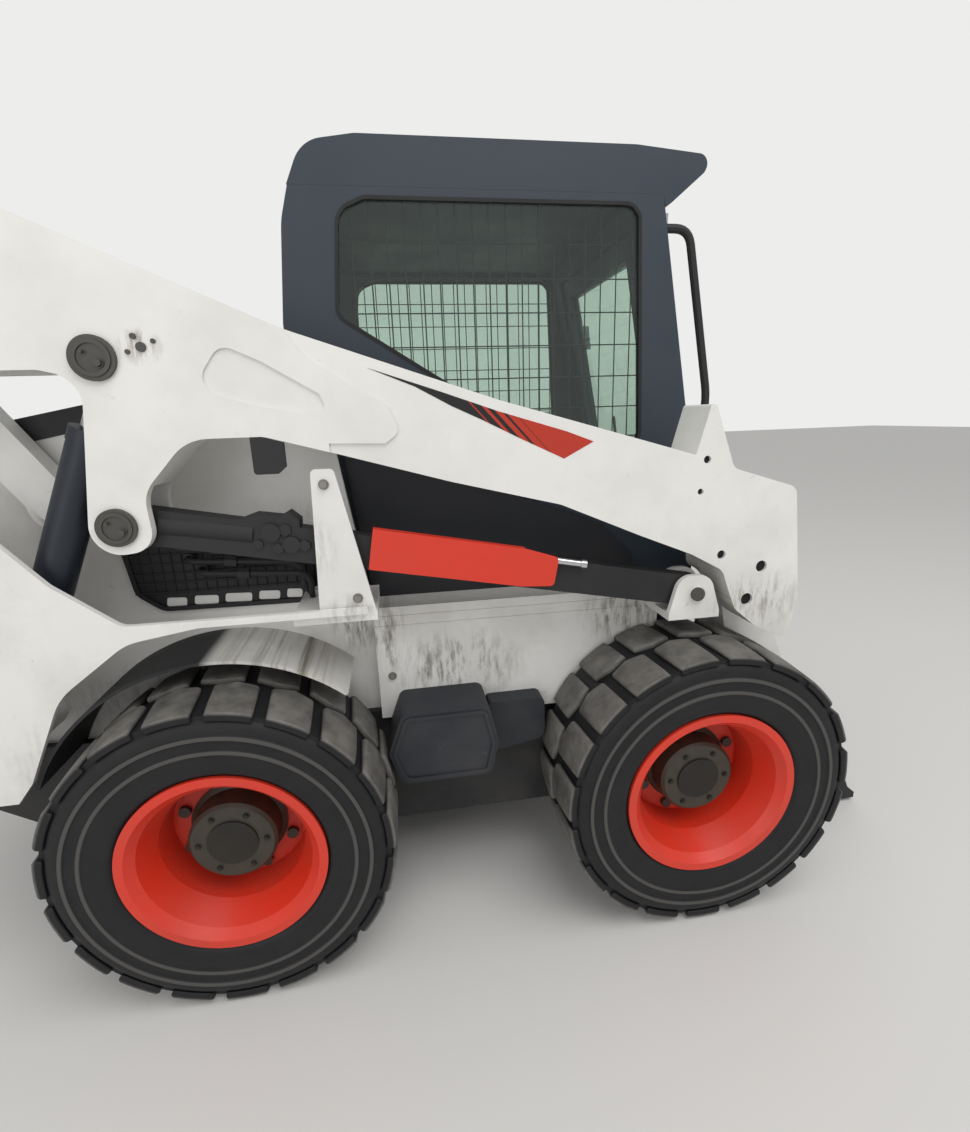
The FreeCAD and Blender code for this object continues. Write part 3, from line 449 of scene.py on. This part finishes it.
place_on(other_side(grille_mesh, "side_grille_mesh_left"), "chassis", satin_black)
place_on(grille_mesh, "chassis", satin_black)

slot_corners_x = ((-0.792, -0.739), (-0.722, -0.658), (-0.643, -0.571), (-0.555, -0.497), (-0.481, -0.437))
panes = []
for start, end in slot_corners_x:
    panes.append(plate("slot", [(start, 0.972, 0.006), (start + 0.004, 0.996, 0.006), (end, 0.993, 0.006),
                                (end - 0.003, 0.969, 0.006)], -wall_face_y - 0.006, -wall_face_y - 0.0075))
slot_panes = one("vent_slots_right", panes)
place_on(other_side(slot_panes, "vent_slots_left"), "chassis", white_enamel)
place_on(slot_panes, "chassis", white_enamel)


# Pressure pipes
# Formed steel pipes with hex unions feed the auxiliary circuit; they stand between the engine's side
# wall and the control link, painted black with the chassis.
def pipe(name, route, radius, bend):
    """Formed pipe through (x, y, z) points, with rounded bends and closed ends."""
    smooth = [Vector(route[0])]
    for before, here, after in zip(route, route[1:], route[2:]):
        here = Vector(here)
        back = (Vector(before) - here).normalized() * bend
        onward = (Vector(after) - here).normalized() * bend
        for step in range(7):
            share = step / 6
            smooth.append(here + back * (1 - share) ** 2 + onward * share ** 2)
    smooth.append(Vector(route[-1]))
    line = bpy.data.curves.new(name, "CURVE")
    line.dimensions = "3D"
    line.bevel_depth = radius
    line.bevel_resolution = 3
    line.use_fill_caps = True
    run = line.splines.new("POLY")
    run.points.add(len(smooth) - 1)
    for point, place in zip(run.points, smooth):
        point.co = (place.x, place.y, place.z, 1.0)
    piece = bpy.data.objects.new(name, line)
    bpy.context.collection.objects.link(piece)
    bpy.ops.object.select_all(action="DESELECT")
    piece.select_set(True)
    bpy.context.view_layer.objects.active = piece
    bpy.ops.object.convert(target="MESH")
    return bpy.context.object


pipes = []
for step in range(3):
    drop = 0.030 * step
    y = -0.610 - 0.012 * step
    pipes.append(pipe("pressure_pipe", [(-0.74 + drop, -0.566, 1.135 - drop), (-0.74 + drop, y, 1.135 - drop),
                                        (-0.46 + drop, y, 1.115 - drop), (-0.42 + drop * 0.3, y, 1.02 - drop * 0.6),
                                        (-0.42 + drop * 0.3, -0.566, 1.00 - drop * 0.6)], 0.0075, 0.035))
    pipes.append(rod("union", (-0.64 + drop, y, 1.1279 - drop), (-0.61 + drop, y, 1.1257 - drop), 0.014, 6))
    pipes.append(rod("union", (-0.74 + drop, -0.560, 1.135 - drop), (-0.74 + drop, -0.585, 1.135 - drop), 0.014, 6))
pipe_set = one("pressure_pipes_right", pipes)
place_on(other_side(pipe_set, "pressure_pipes_left"), "chassis", satin_black)
place_on(pipe_set, "chassis", satin_black)


# Wheel arch liners
# The same sheet as the body, closed above the rear wheels; its rear part is undersealed black,
# and the part under the tower is body white behind a coat of splashed mud.
arch_coat = paint("undersealed_wheel_arch_sheet", "#1A1B1E", "#5E5A54", 0.45, 0.6, 1.2,
                  white_from=(-0.66, "#C9C7C1"), stains=((mud, -0.50, 0.84, 0.20, 0.10, 1.0),))
wear(arch_coat, "wheel_arches")


# Arm stripe
# A thin vinyl decal on each arm's outer face: a black wedge that turns to red towards its blunt front end.
stripe_face_y = 0.784
stripe_thickness = 0.0006
stripe_corners = [(-0.204, 1.551), (-0.045, 1.497), (0.087, 1.450), (0.254, 1.398), (0.321, 1.372), (0.247, 1.334),
                  (0.141, 1.385), (0.046, 1.433), (-0.020, 1.464), (-0.102, 1.509)]
decal = blank_material("black_to_red_vinyl_decal")
tree = decal.node_tree
place = add_node(tree, "ShaderNodeTexCoord")
split = add_node(tree, "ShaderNodeSeparateXYZ", {0: place.outputs["Object"]})
slant = add_node(tree, "ShaderNodeMath", {0: split.outputs["Z"], 1: 0.9, 2: split.outputs["X"]},
                 operation="MULTIPLY_ADD")
bars = add_node(tree, "ShaderNodeMath", {0: slant.outputs[0], 1: 0.021}, operation="MODULO")
grow = add_node(tree, "ShaderNodeMapRange", {"Value": slant.outputs[0], "From Min": 1.33, "From Max": 1.435,
                                             "To Min": 0.0, "To Max": 0.021})
is_red = add_node(tree, "ShaderNodeMath", {0: bars.outputs[0], 1: grow.outputs[0]}, operation="LESS_THAN")
tint = add_node(tree, "ShaderNodeMix", {"Factor": is_red.outputs[0], "A": linear("#1B1B1D"),
                                        "B": linear("#B5321F")}, data_type="RGBA")
shell = add_node(tree, "ShaderNodeBsdfPrincipled", {"Base Color": tint.outputs["Result"], "Roughness": 0.35})
add_node(tree, "ShaderNodeOutputMaterial", {"Surface": shell.outputs["BSDF"]})
stripe = plate("arm_stripe_right", stripe_corners, -stripe_face_y, -stripe_face_y - stripe_thickness)
place_on(other_side(stripe, "arm_stripe_left"), "lift_arm", decal)
place_on(stripe, "lift_arm", decal)


# Cab shell
# Pressed and welded steel in satin slate-blue paint.
# Rubber gaskets clamp the side windows.
cab_slate = paint("satin_slate_cab_paint", "#2A343F", "#6A6963", 0.30, 0.42, 1.2)
wear(cab_slate, "cab_side_left", "cab_side_right", "cab_rear", "cab_front", "cab_roof", "cab_floor", "door_frame")
cab_face_y = 0.475
window_corners = [(-0.285, 1.705, 0.04), (-0.262, 1.960, 0.06), (-0.190, 1.990, 0.04), (0.535, 1.990, 0.04),
                  (0.560, 1.960, 0.03), (0.585, 1.330, 0.04), (0.200, 1.400, 0.10)]
rubber = paint("black_window_rubber", "#17181A", "#55524D", 0.4, 0.6, 1.4)
gasket = plate("window_gasket_right", window_corners, -cab_face_y + 0.009, -cab_face_y - 0.002, ring_width=0.009)
place_on(other_side(gasket, "window_gasket_left"), "chassis", rubber)
place_on(gasket, "chassis", rubber)


# Side screens
# Welded wire mesh inside each side window, in black paint; it is cut to the window's outline.
wire_radius = 0.0019
wire_pitch_x = 0.046
wire_pitch_z = 0.088
screen_low, screen_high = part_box("side_screens")
wires = []
for side in (-1, 1):
    for step in range(int((screen_high[0] - screen_low[0]) / wire_pitch_x)):
        x = screen_low[0] + wire_pitch_x * (step + 0.5)
        wires.append(rod("wire", (x, side * 0.4327, screen_low[2] - 0.01), (x, side * 0.4327, screen_high[2] + 0.01),
                         wire_radius, 8))
    for step in range(int((screen_high[2] - screen_low[2]) / wire_pitch_z)):
        z = screen_low[2] + wire_pitch_z * (step + 0.5)
        wires.append(rod("wire", (screen_low[0] - 0.01, side * 0.4289, z), (screen_high[0] + 0.01, side * 0.4289, z),
                         wire_radius * 0.95, 8))
wire_mesh = one("side_screen_wires", wires)
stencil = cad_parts["side_screens"].copy()
stencil.data = stencil.data.copy()
bpy.context.collection.objects.link(stencil)
trim = wire_mesh.modifiers.new("trim", "BOOLEAN")
trim.operation = "INTERSECT"
trim.object = stencil
bpy.ops.object.select_all(action="DESELECT")
wire_mesh.select_set(True)
bpy.context.view_layer.objects.active = wire_mesh
bpy.ops.object.modifier_apply(modifier="trim")
bpy.data.objects.remove(stencil)
place_on(wire_mesh, "chassis", satin_black)
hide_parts("side_screens")


# Handrail
# Bent steel tube in satin black paint, welded to the cab's right front corner.
rail_y = -0.455
handrail = pipe("handrail_tube", [(0.6384, rail_y, 1.932), (0.712, rail_y, 1.932), (0.800, rail_y, 1.470),
                                  (0.785, rail_y, 1.365), (0.7398, rail_y, 1.365)], 0.012, 0.042)
place_on(handrail, "chassis", satin_black)
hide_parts("handrails")


# Stored arm support
# A folded steel channel in signal red, tapered towards the front, with its plated pin sticking out.
signal_red = paint("signal_red_gloss_enamel", "#D6341F", "#7E4A3C", 0.3, 0.3, 1.4)
wear(signal_red, "rim_front_left", "rim_front_right", "rim_rear_left", "rim_rear_right")
link_face_y = 0.755
support_face_y = 0.782
web = plate("arm_support_web", [(-0.240, 1.091, 0.006), (-0.222, 1.190, 0.006), (0.150, 1.115, 0.03),
                                (0.236, 1.086, 0.012), (0.222, 1.012, 0.012), (0.140, 1.017, 0.03)],
            -support_face_y + 0.005, -support_face_y)
top_flange = plate("arm_support_top", [(-0.223, 1.185), (-0.222, 1.190), (0.150, 1.115), (0.149, 1.110)],
                   -link_face_y - 0.001, -support_face_y + 0.002)
low_flange = plate("arm_support_low", [(-0.240, 1.091), (-0.239, 1.096), (0.141, 1.022), (0.140, 1.017)],
                   -link_face_y - 0.001, -support_face_y + 0.002)
support = place_on(one("arm_support_channel", [web, top_flange, low_flange]), "control_links", signal_red)
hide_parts("arm_support")


# Cylinder rods and plated pins
# Ground steel rods with hard chrome plating, wiped clean by their seals.
chrome = blank_material("hard_chrome_plate")
tree = chrome.node_tree
shell = add_node(tree, "ShaderNodeBsdfPrincipled", {"Base Color": linear("#C8CACB"), "Metallic": 1.0,
                                                    "Roughness": 0.16})
add_node(tree, "ShaderNodeOutputMaterial", {"Surface": shell.outputs["BSDF"]})
wear(chrome, "lift_rods", "tilt_rods")
support_pin = one("arm_support_pin", [rod("pin", (0.200, -0.770, 1.082), (0.298, -0.770, 1.062), 0.010, 20),
                                      rod("pin_head", (0.296, -0.770, 1.0624), (0.310, -0.770, 1.0596), 0.013, 20)])
place_on(support_pin, "control_links", chrome)


cylinder_navy = paint("navy_cylinder_enamel", "#141C27", "#4F4F4D", 0.3, 0.35, 1.0)
wear(cylinder_navy, "lift_barrels")
for name, body, base, tip, y, gland, radius, material in (
        ("lift", "lift_barrels", (-1.140, 0.700), (-0.750, 1.580), 0.715, 0.803, 0.0460, cylinder_navy),
        ("tilt", "tilt_barrels", (0.885, 1.010), (1.196, 0.392), 0.415, 0.602, 0.0400, satin_black)):
    along = (Vector(tip) - Vector(base)).normalized()
    start = Vector(base) + along * (gland - 0.028)
    end = Vector(base) + along * (gland + 0.004)
    gland_ring = one(name + "_gland_right", [rod("gland", (start.x, -y, start.y), (end.x, -y, end.y), radius, 40)])
    place_on(other_side(gland_ring, name + "_gland_left"), body, material)
    place_on(gland_ring, body, material)


# Tyres
# Moulded carbon-black rubber: a smooth carcass with raised sidewall rings, and two rows of blocks set
# half a pitch apart. Dried mud greys the blocks' tops; the sidewalls stay dark, but their raised rings are
# painted a lighter grey.
lug_count = 19
lug_gap = 0.029
tread_base = 0.3985
shoulder_foot = 0.387
lug_outer = 0.149
side_profile = [(0.1225, 0.2135), (0.1370, 0.2445), (0.1450, 0.2500), (0.1500, 0.2600), (0.1490, 0.2680),
                (0.1530, 0.2850), (0.1548, 0.3030), (0.1550, 0.3060), (0.1578, 0.3090), (0.1578, 0.3160),
                (0.1548, 0.3190), (0.1535, 0.3400), (0.1540, 0.3420), (0.1578, 0.3450), (0.1578, 0.3530),
                (0.1535, 0.3560), (0.1515, 0.3700), (0.1480, 0.3800), (0.1440, 0.3840), (0.1400, 0.3880),
                (0.1400, tread_base)]
tyre_low, tyre_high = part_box("tyre_front_left")
tyre_radius = (tyre_high[2] - tyre_low[2]) / 2.0

profile = side_profile + [(-offset, radius) for offset, radius in reversed(side_profile)]
bpy.ops.object.select_all(action="DESELECT")
bpy.ops.mesh.primitive_circle_add(vertices=len(profile), fill_type="NOTHING")
tyre = bpy.context.object
for vertex, (offset, radius) in zip(tyre.data.vertices, profile):
    vertex.co = (0.0, offset, radius)
bpy.ops.object.mode_set(mode="EDIT")
bpy.ops.mesh.select_all(action="SELECT")
bpy.ops.mesh.spin(steps=114, angle=2 * math.pi, center=(0, 0, 0), axis=(0, 1, 0))
bpy.ops.mesh.select_all(action="SELECT")
bpy.ops.mesh.remove_doubles(threshold=0.00002)
bpy.ops.mesh.normals_make_consistent(inside=False)
bpy.ops.object.mode_set(mode="OBJECT")

bpy.ops.object.select_all(action="DESELECT")
bpy.ops.mesh.primitive_cube_add(size=2.0)
block = bpy.context.object
bpy.ops.object.mode_set(mode="EDIT")
bpy.ops.mesh.select_all(action="SELECT")
bpy.ops.mesh.subdivide(number_cuts=3)
bpy.ops.object.mode_set(mode="OBJECT")
half_angle = math.pi / lug_count - lug_gap / tyre_radius / 2.0
for vertex in block.data.vertices:
    around, across, outward = vertex.co
    share = (across + 1.0) / 2.0
    inner = 0.005 + 0.014 * abs(around)
    axial = inner + (lug_outer - inner) * share
    foot = tread_base - 0.002 if share < 0.95 else shoulder_foot
    tip = tyre_radius - 0.0065 * share * share
    radius = foot + (tip - foot) * (outward + 1.0) / 2.0
    angle = around * half_angle * (0.86 + 0.14 * (outward < 0.9)) + 0.03 * (1.0 - share)
    vertex.co = (radius * math.sin(angle), axial, radius * math.cos(angle))
soften = block.modifiers.new("soften", "BEVEL")
soften.width = 0.0025
soften.segments = 1
soften.limit_method = "ANGLE"
soften.angle_limit = math.radians(38)
bpy.ops.object.select_all(action="DESELECT")
block.select_set(True)
bpy.context.view_layer.objects.active = block
bpy.ops.object.modifier_apply(modifier="soften")
bpy.ops.object.mode_set(mode="EDIT")
bpy.ops.mesh.select_all(action="SELECT")
bpy.ops.mesh.normals_make_consistent(inside=False)
bpy.ops.object.mode_set(mode="OBJECT")

blocks = [tyre]
for step in range(2 * lug_count):
    copy = block.copy()
    copy.data = block.data.copy()
    bpy.context.collection.objects.link(copy)
    if step % 2:
        copy.data.transform(Matrix.Rotation(math.pi, 4, "Z"))
    copy.data.transform(Matrix.Rotation(step * math.pi / lug_count, 4, "Y"))
    blocks.append(copy)
bpy.data.objects.remove(block)
tyre = one("tyre_pattern", blocks)

tyre_rubber = blank_material("moulded_tyre_rubber")
tree = tyre_rubber.node_tree
place = add_node(tree, "ShaderNodeTexCoord")
split = add_node(tree, "ShaderNodeSeparateXYZ", {0: place.outputs["Object"]})
aside = add_node(tree, "ShaderNodeMath", {0: split.outputs["X"]}, operation="ABSOLUTE")
wheel_x = (tyre_low[0] + tyre_high[0]) / 2.0
wheel_y = (tyre_low[1] + tyre_high[1]) / 2.0
from_axle_x = add_node(tree, "ShaderNodeMath", {0: aside.outputs[0], 1: wheel_x}, operation="SUBTRACT")
from_axle_z = add_node(tree, "ShaderNodeMath", {0: split.outputs["Z"], 1: tyre_radius}, operation="SUBTRACT")
spoke = add_node(tree, "ShaderNodeCombineXYZ", {0: from_axle_x.outputs[0], 2: from_axle_z.outputs[0]})
reach = add_node(tree, "ShaderNodeVectorMath", {0: spoke.outputs[0]}, operation="LENGTH")
clods = add_node(tree, "ShaderNodeTexNoise", {"Vector": place.outputs["Object"], "Scale": 14.0, "Detail": 7.0,
                                              "Roughness": 0.7})
top = add_node(tree, "ShaderNodeMapRange", {"Value": reach.outputs["Value"], "From Min": 0.401, "From Max": 0.407,
                                            "To Min": 0.05, "To Max": 1.0})
caked = add_node(tree, "ShaderNodeMapRange", {"Value": clods.outputs["Fac"], "From Min": 0.30, "From Max": 0.66,
                                              "To Min": 0.35, "To Max": 1.0})
dust = add_node(tree, "ShaderNodeMath", {0: top.outputs[0], 1: caked.outputs[0]}, operation="MULTIPLY")
# The outermost faces of the raised sidewall rings are painted 40% towards the mud grey, which makes them lighter.
outward_y = add_node(tree, "ShaderNodeMath", {0: split.outputs["Y"]}, operation="ABSOLUTE")
lighter_rings = add_node(tree, "ShaderNodeMapRange", {"Value": outward_y.outputs[0], "From Min": wheel_y + 0.1556,
                                               "From Max": wheel_y + 0.1576, "To Min": 0.0, "To Max": 0.4})
# Each point takes the stronger of the mud on the tread tops and the lighter paint on the raised rings.
overlay_share = add_node(tree, "ShaderNodeMath", {0: dust.outputs[0], 1: lighter_rings.outputs[0]}, operation="MAXIMUM")
coat = add_node(tree, "ShaderNodeMix", {"Factor": overlay_share.outputs[0], "A": linear("#0B0D12"),
                                        "B": linear("#73706B")}, data_type="RGBA")
pores = add_node(tree, "ShaderNodeTexNoise", {"Vector": place.outputs["Object"], "Scale": 220.0, "Detail": 3.0})
grain = add_node(tree, "ShaderNodeBump", {"Height": pores.outputs["Fac"], "Strength": 0.25, "Distance": 0.001})
shell = add_node(tree, "ShaderNodeBsdfPrincipled", {"Base Color": coat.outputs["Result"], "Roughness": 0.6,
                                                    "Specular IOR Level": 0.35, "Normal": grain.outputs[0]})
add_node(tree, "ShaderNodeOutputMaterial", {"Surface": shell.outputs["BSDF"]})

for corner in ("front_left", "front_right", "rear_left", "rear_right"):
    low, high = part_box("tyre_" + corner)
    worn_tyre = tyre.copy()
    worn_tyre.data = tyre.data.copy()
    worn_tyre.name = "tread_tyre_" + corner
    bpy.context.collection.objects.link(worn_tyre)
    worn_tyre.data.transform(Matrix.Translation(((low[0] + high[0]) / 2, (low[1] + high[1]) / 2, tyre_radius)))
    place_on(worn_tyre, "wheel_" + corner, tyre_rubber, 40.0)
    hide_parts("tyre_" + corner)
bpy.data.objects.remove(tyre)


# Hubs
# Cast iron drive hubs, painted once and now rust-brown; their flanges carry the wheel dish's red paint.
# A machined cover with six small bolts closes each drum.
cast_iron = paint("painted_cast_iron", "#22231F", "#4C473B", 0.5, 0.6, 1.0, metallic=0.2)
wear(cast_iron, "engine_block", "seat_base")
hub_coat = blank_material("cast_iron_hub_with_red_flange")
tree = hub_coat.node_tree
place = add_node(tree, "ShaderNodeTexCoord")
split = add_node(tree, "ShaderNodeSeparateXYZ", {0: place.outputs["Object"]})
aside = add_node(tree, "ShaderNodeMath", {0: split.outputs["X"]}, operation="ABSOLUTE")
from_axle_x = add_node(tree, "ShaderNodeMath", {0: aside.outputs[0], 1: wheel_x}, operation="SUBTRACT")
from_axle_z = add_node(tree, "ShaderNodeMath", {0: split.outputs["Z"], 1: tyre_radius}, operation="SUBTRACT")
spoke = add_node(tree, "ShaderNodeCombineXYZ", {0: from_axle_x.outputs[0], 2: from_axle_z.outputs[0]})
reach = add_node(tree, "ShaderNodeVectorMath", {0: spoke.outputs[0]}, operation="LENGTH")
outboard = add_node(tree, "ShaderNodeMath", {0: split.outputs["Y"]}, operation="ABSOLUTE")
on_flange = add_node(tree, "ShaderNodeMath", {0: reach.outputs["Value"], 1: 0.1215}, operation="GREATER_THAN")
under_nuts = add_node(tree, "ShaderNodeMath", {0: outboard.outputs[0], 1: 0.7500}, operation="LESS_THAN")
red_part = add_node(tree, "ShaderNodeMath", {0: on_flange.outputs[0], 1: under_nuts.outputs[0]},
                    operation="MULTIPLY")
crust = add_node(tree, "ShaderNodeTexNoise", {"Vector": place.outputs["Object"], "Scale": 30.0, "Detail": 6.0,
                                              "Roughness": 0.7})
iron = add_node(tree, "ShaderNodeMix", {"Factor": crust.outputs["Fac"], "A": linear("#262723"),
                                        "B": linear("#453F32")}, data_type="RGBA")
mixed = add_node(tree, "ShaderNodeMix", {"Factor": red_part.outputs[0], "A": iron.outputs["Result"],
                                         "B": linear("#C93A28")}, data_type="RGBA")
shell = add_node(tree, "ShaderNodeBsdfPrincipled", {"Base Color": mixed.outputs["Result"], "Roughness": 0.5})
add_node(tree, "ShaderNodeOutputMaterial", {"Surface": shell.outputs["BSDF"]})
wear(hub_coat, "hub_front_left", "hub_front_right", "hub_rear_left", "hub_rear_right")
for corner, side in (("front_left", 1), ("front_right", -1), ("rear_left", 1), ("rear_right", -1)):
    low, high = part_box("hub_" + corner)
    x = (low[0] + high[0]) / 2.0
    face = high[1] if side > 0 else low[1]
    cover = rod("cover", (x, face, tyre_radius), (x, face + side * 0.005, tyre_radius), 0.062, 40)
    ring_bolts = bolts("cover_bolts", [(x + 0.083 * math.cos(step * math.pi / 3), face,
                                        tyre_radius + 0.083 * math.sin(step * math.pi / 3)) for step in range(6)],
                       0.006, 0.006, (0, side, 0))
    place_on(one("hub_cover_" + corner, [cover, ring_bolts]), "wheel_" + corner, cast_iron)


# Cab glass
# Toughened float glass with a grey-green body tint; the sky reflects in its flat face.
tinted_glass = blank_material("tinted_float_glass")
tree = tinted_glass.node_tree
slant = add_node(tree, "ShaderNodeLayerWeight", {"Blend": 0.5})
steep = add_node(tree, "ShaderNodeMath", {0: slant.outputs["Facing"], 1: 5.0}, operation="POWER")
facing = add_node(tree, "ShaderNodeMath", {0: steep.outputs[0], 1: 0.94, 2: 0.05}, operation="MULTIPLY_ADD")
through = add_node(tree, "ShaderNodeBsdfTransparent", {"Color": linear("#E9F1EC")})
mirror = add_node(tree, "ShaderNodeBsdfGlossy", {"Color": linear("#F2F5F4"), "Roughness": 0.02})
pane = add_node(tree, "ShaderNodeMixShader", {0: facing.outputs[0], 1: through.outputs[0], 2: mirror.outputs[0]})
add_node(tree, "ShaderNodeOutputMaterial", {"Surface": pane.outputs[0]})
wear(tinted_glass, "side_glass", "rear_glass", "door_glass")


# Plastic boxes and covers
# Moulded black polyethylene with a fine leather grain, greyed by dust. The side boxes have a rolled
# lip round their outer face.
moulded_plastic = paint("moulded_black_polyethylene", "#1E222A", "#5E5B56", 0.4, 0.5, 1.2)
wear(moulded_plastic, "side_boxes", "control_consoles", "joysticks")
flank_paint = paint("satin_black_flank_panel", "#1D1F25", "#55524D", 0.3, 0.45, 1.4)
wear(flank_paint, "flank_covers")
box_face_y = 0.750
box_lip = plate("side_box_lip_right", [(-0.222, 0.560, 0.03), (-0.182, 0.664, 0.02), (0.040, 0.664, 0.02),
                                       (0.063, 0.560, 0.02), (0.042, 0.470, 0.02), (-0.193, 0.470, 0.03)],
                -box_face_y + 0.001, -box_face_y - 0.005, ring_width=0.010)
place_on(other_side(box_lip, "side_box_lip_left"), "chassis", moulded_plastic)
place_on(box_lip, "chassis", moulded_plastic)


# Seat
# Two foam cushions in sewn black vinyl on a steel base. Each is crowned, pulled in at its rim,
# and divided by two sewn channels.
seat_vinyl = paint("sewn_black_vinyl", "#1C1C1F", "#4D4A46", 0.3, 0.5, 1.6)


def cushion(name, foot, length_axis, lift_axis, half_length, half_width, thickness):
    """Crowned pad on its foot point, with its length and its thickness along two given directions."""
    bpy.ops.object.select_all(action="DESELECT")
    bpy.ops.mesh.primitive_cube_add(size=2.0)
    pad = bpy.context.object
    pad.name = name
    bpy.ops.object.mode_set(mode="EDIT")
    bpy.ops.mesh.select_all(action="SELECT")
    bpy.ops.mesh.subdivide(number_cuts=11)
    bpy.ops.object.mode_set(mode="OBJECT")
    length_axis = Vector(length_axis).normalized()
    lift_axis = Vector(lift_axis).normalized()
    for vertex in pad.data.vertices:
        u, v, w = vertex.co
        rim = max(abs(u), abs(v)) ** 8
        crown = 0.22 * (1 - u * u) * (1 - v * v) * max(w, 0.0)
        channel = 0.10 * max(0.0, 1 - abs(abs(v) - 0.45) / 0.06) * (w > 0.9)
        height = (w + 1) / 2 * (1 - 0.30 * rim * (w > 0)) + crown - channel
        squeeze = 1 - 0.03 * (1 - w * w) - 0.02 * abs(u * v)
        vertex.co = (Vector(foot) + length_axis * u * half_length * squeeze + lift_axis * height * thickness
                     + Vector((0, v * half_width * squeeze, 0)))
    round_off = pad.modifiers.new("round_off", "SUBSURF")
    round_off.levels = 1
    round_off.render_levels = 1
    bpy.ops.object.select_all(action="DESELECT")
    pad.select_set(True)
    bpy.context.view_layer.objects.active = pad
    bpy.ops.object.modifier_apply(modifier="round_off")
    bpy.ops.object.mode_set(mode="EDIT")
    bpy.ops.mesh.select_all(action="SELECT")
    bpy.ops.mesh.normals_make_consistent(inside=False)
    bpy.ops.object.mode_set(mode="OBJECT")
    return pad


seat_pads = one("seat_pads", [cushion("seat_pad", (0.005, 0, 0.901), (1, 0, 0), (0, 0, 1), 0.232, 0.236, 0.090),
                              cushion("back_pad", (-0.283, 0, 1.262), (-0.21, 0, 1), (1, 0, 0.21), 0.268, 0.226,
                                      0.095)])
place_on(seat_pads, "chassis", seat_vinyl, 60.0)
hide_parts("seat_cushions")


# Tailgate and door fittings
# Zinc-plated bolts hold the grille's frame and a lever handle latches the gate. The cab door has a
# pull handle and a wiper; both are black-painted steel.
gate_face_x = -1.440
gate_bolts = bolts("tailgate_bolts", [(gate_face_x, side * y, z) for side in (-1, 1) for y, z in
                                      ((0.375, 0.66), (0.375, 0.85), (0.375, 1.04), (0.20, 1.095), (0.20, 0.605),
                                       (0.48, 0.56), (0.48, 1.29))], 0.008, 0.008, (-1, 0, 0))
place_on(gate_bolts, "tailgate", zinc)
latch = one("tailgate_latch", [
    rod("pivot", (gate_face_x, -0.475, 0.80), (gate_face_x - 0.009, -0.475, 0.80), 0.022, 28),
    rod("lever", (gate_face_x - 0.006, -0.475, 0.80), (gate_face_x - 0.006, -0.475, 0.90), 0.006, 16),
    rod("grip", (gate_face_x - 0.006, -0.475, 0.86), (gate_face_x - 0.006, -0.475, 0.92), 0.009, 20)])
place_on(latch, "tailgate", satin_black)
lens_frames = []
for side in (-1, 1):
    for first, last in (((0.386, 0.996), (0.494, 0.996)), ((0.386, 1.144), (0.494, 1.144)),
                        ((0.388, 0.996), (0.388, 1.144)), ((0.492, 0.996), (0.492, 1.144))):
        lens_frames.append(rod("lens_frame", (gate_face_x - 0.004, side * first[0], first[1]),
                               (gate_face_x - 0.004, side * last[0], last[1]), 0.005, 12))
place_on(one("tail_lamp_frames", lens_frames), "tailgate", moulded_plastic)

door_pull = one("door_pull", [
    pipe("pull_bar", [(0.758, -0.312, 1.05), (0.786, -0.312, 1.06), (0.771, -0.312, 1.22), (0.744, -0.312, 1.21)],
         0.008, 0.018)])
place_on(door_pull, "cab_door", satin_black)
wiper = one("door_wiper", [
    rod("wiper_pivot", (0.752, -0.02, 0.885), (0.780, -0.02, 0.889), 0.014, 24),
    rod("wiper_arm", (0.774, -0.02, 0.888), (0.752, 0.10, 1.240), 0.004, 12),
    rod("wiper_blade", (0.763, 0.085, 1.08), (0.735, 0.125, 1.42), 0.006, 12)])
place_on(wiper, "cab_door", satin_black)


# Coupler fittings
# Two lever handles drive the locking wedges through the plate's foot; they are black-painted bar
# with plated pins.
coupler_levers = one("coupler_levers", [piece for side in (-1, 1) for piece in (
    rod("lever_pivot", (1.190, side * 0.300, 0.425), (1.236, side * 0.300, 0.444), 0.022, 28),
    pipe("lever", [(1.200, side * 0.300, 0.429), (1.172, side * 0.300, 0.505), (1.180, side * 0.300, 0.590)],
         0.008, 0.02),
    rod("lever_grip", (1.1770, side * 0.300, 0.555), (1.1836, side * 0.300, 0.615), 0.0115, 20),
    rod("wedge", (1.262, side * 0.400, 0.270), (1.360, side * 0.400, 0.060), 0.016, 24))])
place_on(coupler_levers, "coupler", satin_black)
coupler_pins = bolts("coupler_bolts", [(1.2355 + 0.394 * drop, side * y, 0.487 - 0.919 * drop)
                                       for side in (-1, 1) for y in (0.34, 0.50) for drop in (0.05, 0.36)],
                     0.010, 0.008, (0.919, 0, 0.394))
place_on(coupler_pins, "coupler", zinc)


# Lamps
# Polycarbonate lenses, clear at the front and red at the tail.
def lens(name, colour):
    material = blank_material(name)
    tree = material.node_tree
    shell = add_node(tree, "ShaderNodeBsdfPrincipled", {"Base Color": linear(colour), "Roughness": 0.12,
                                                        "IOR": 1.58, "Coat Weight": 0.5})
    add_node(tree, "ShaderNodeOutputMaterial", {"Surface": shell.outputs["BSDF"]})
    return material


wear(lens("clear_polycarbonate_lens", "#D6DADC"), "front_lamps")
wear(lens("red_polycarbonate_lens", "#A3201C"), "tail_lamps")
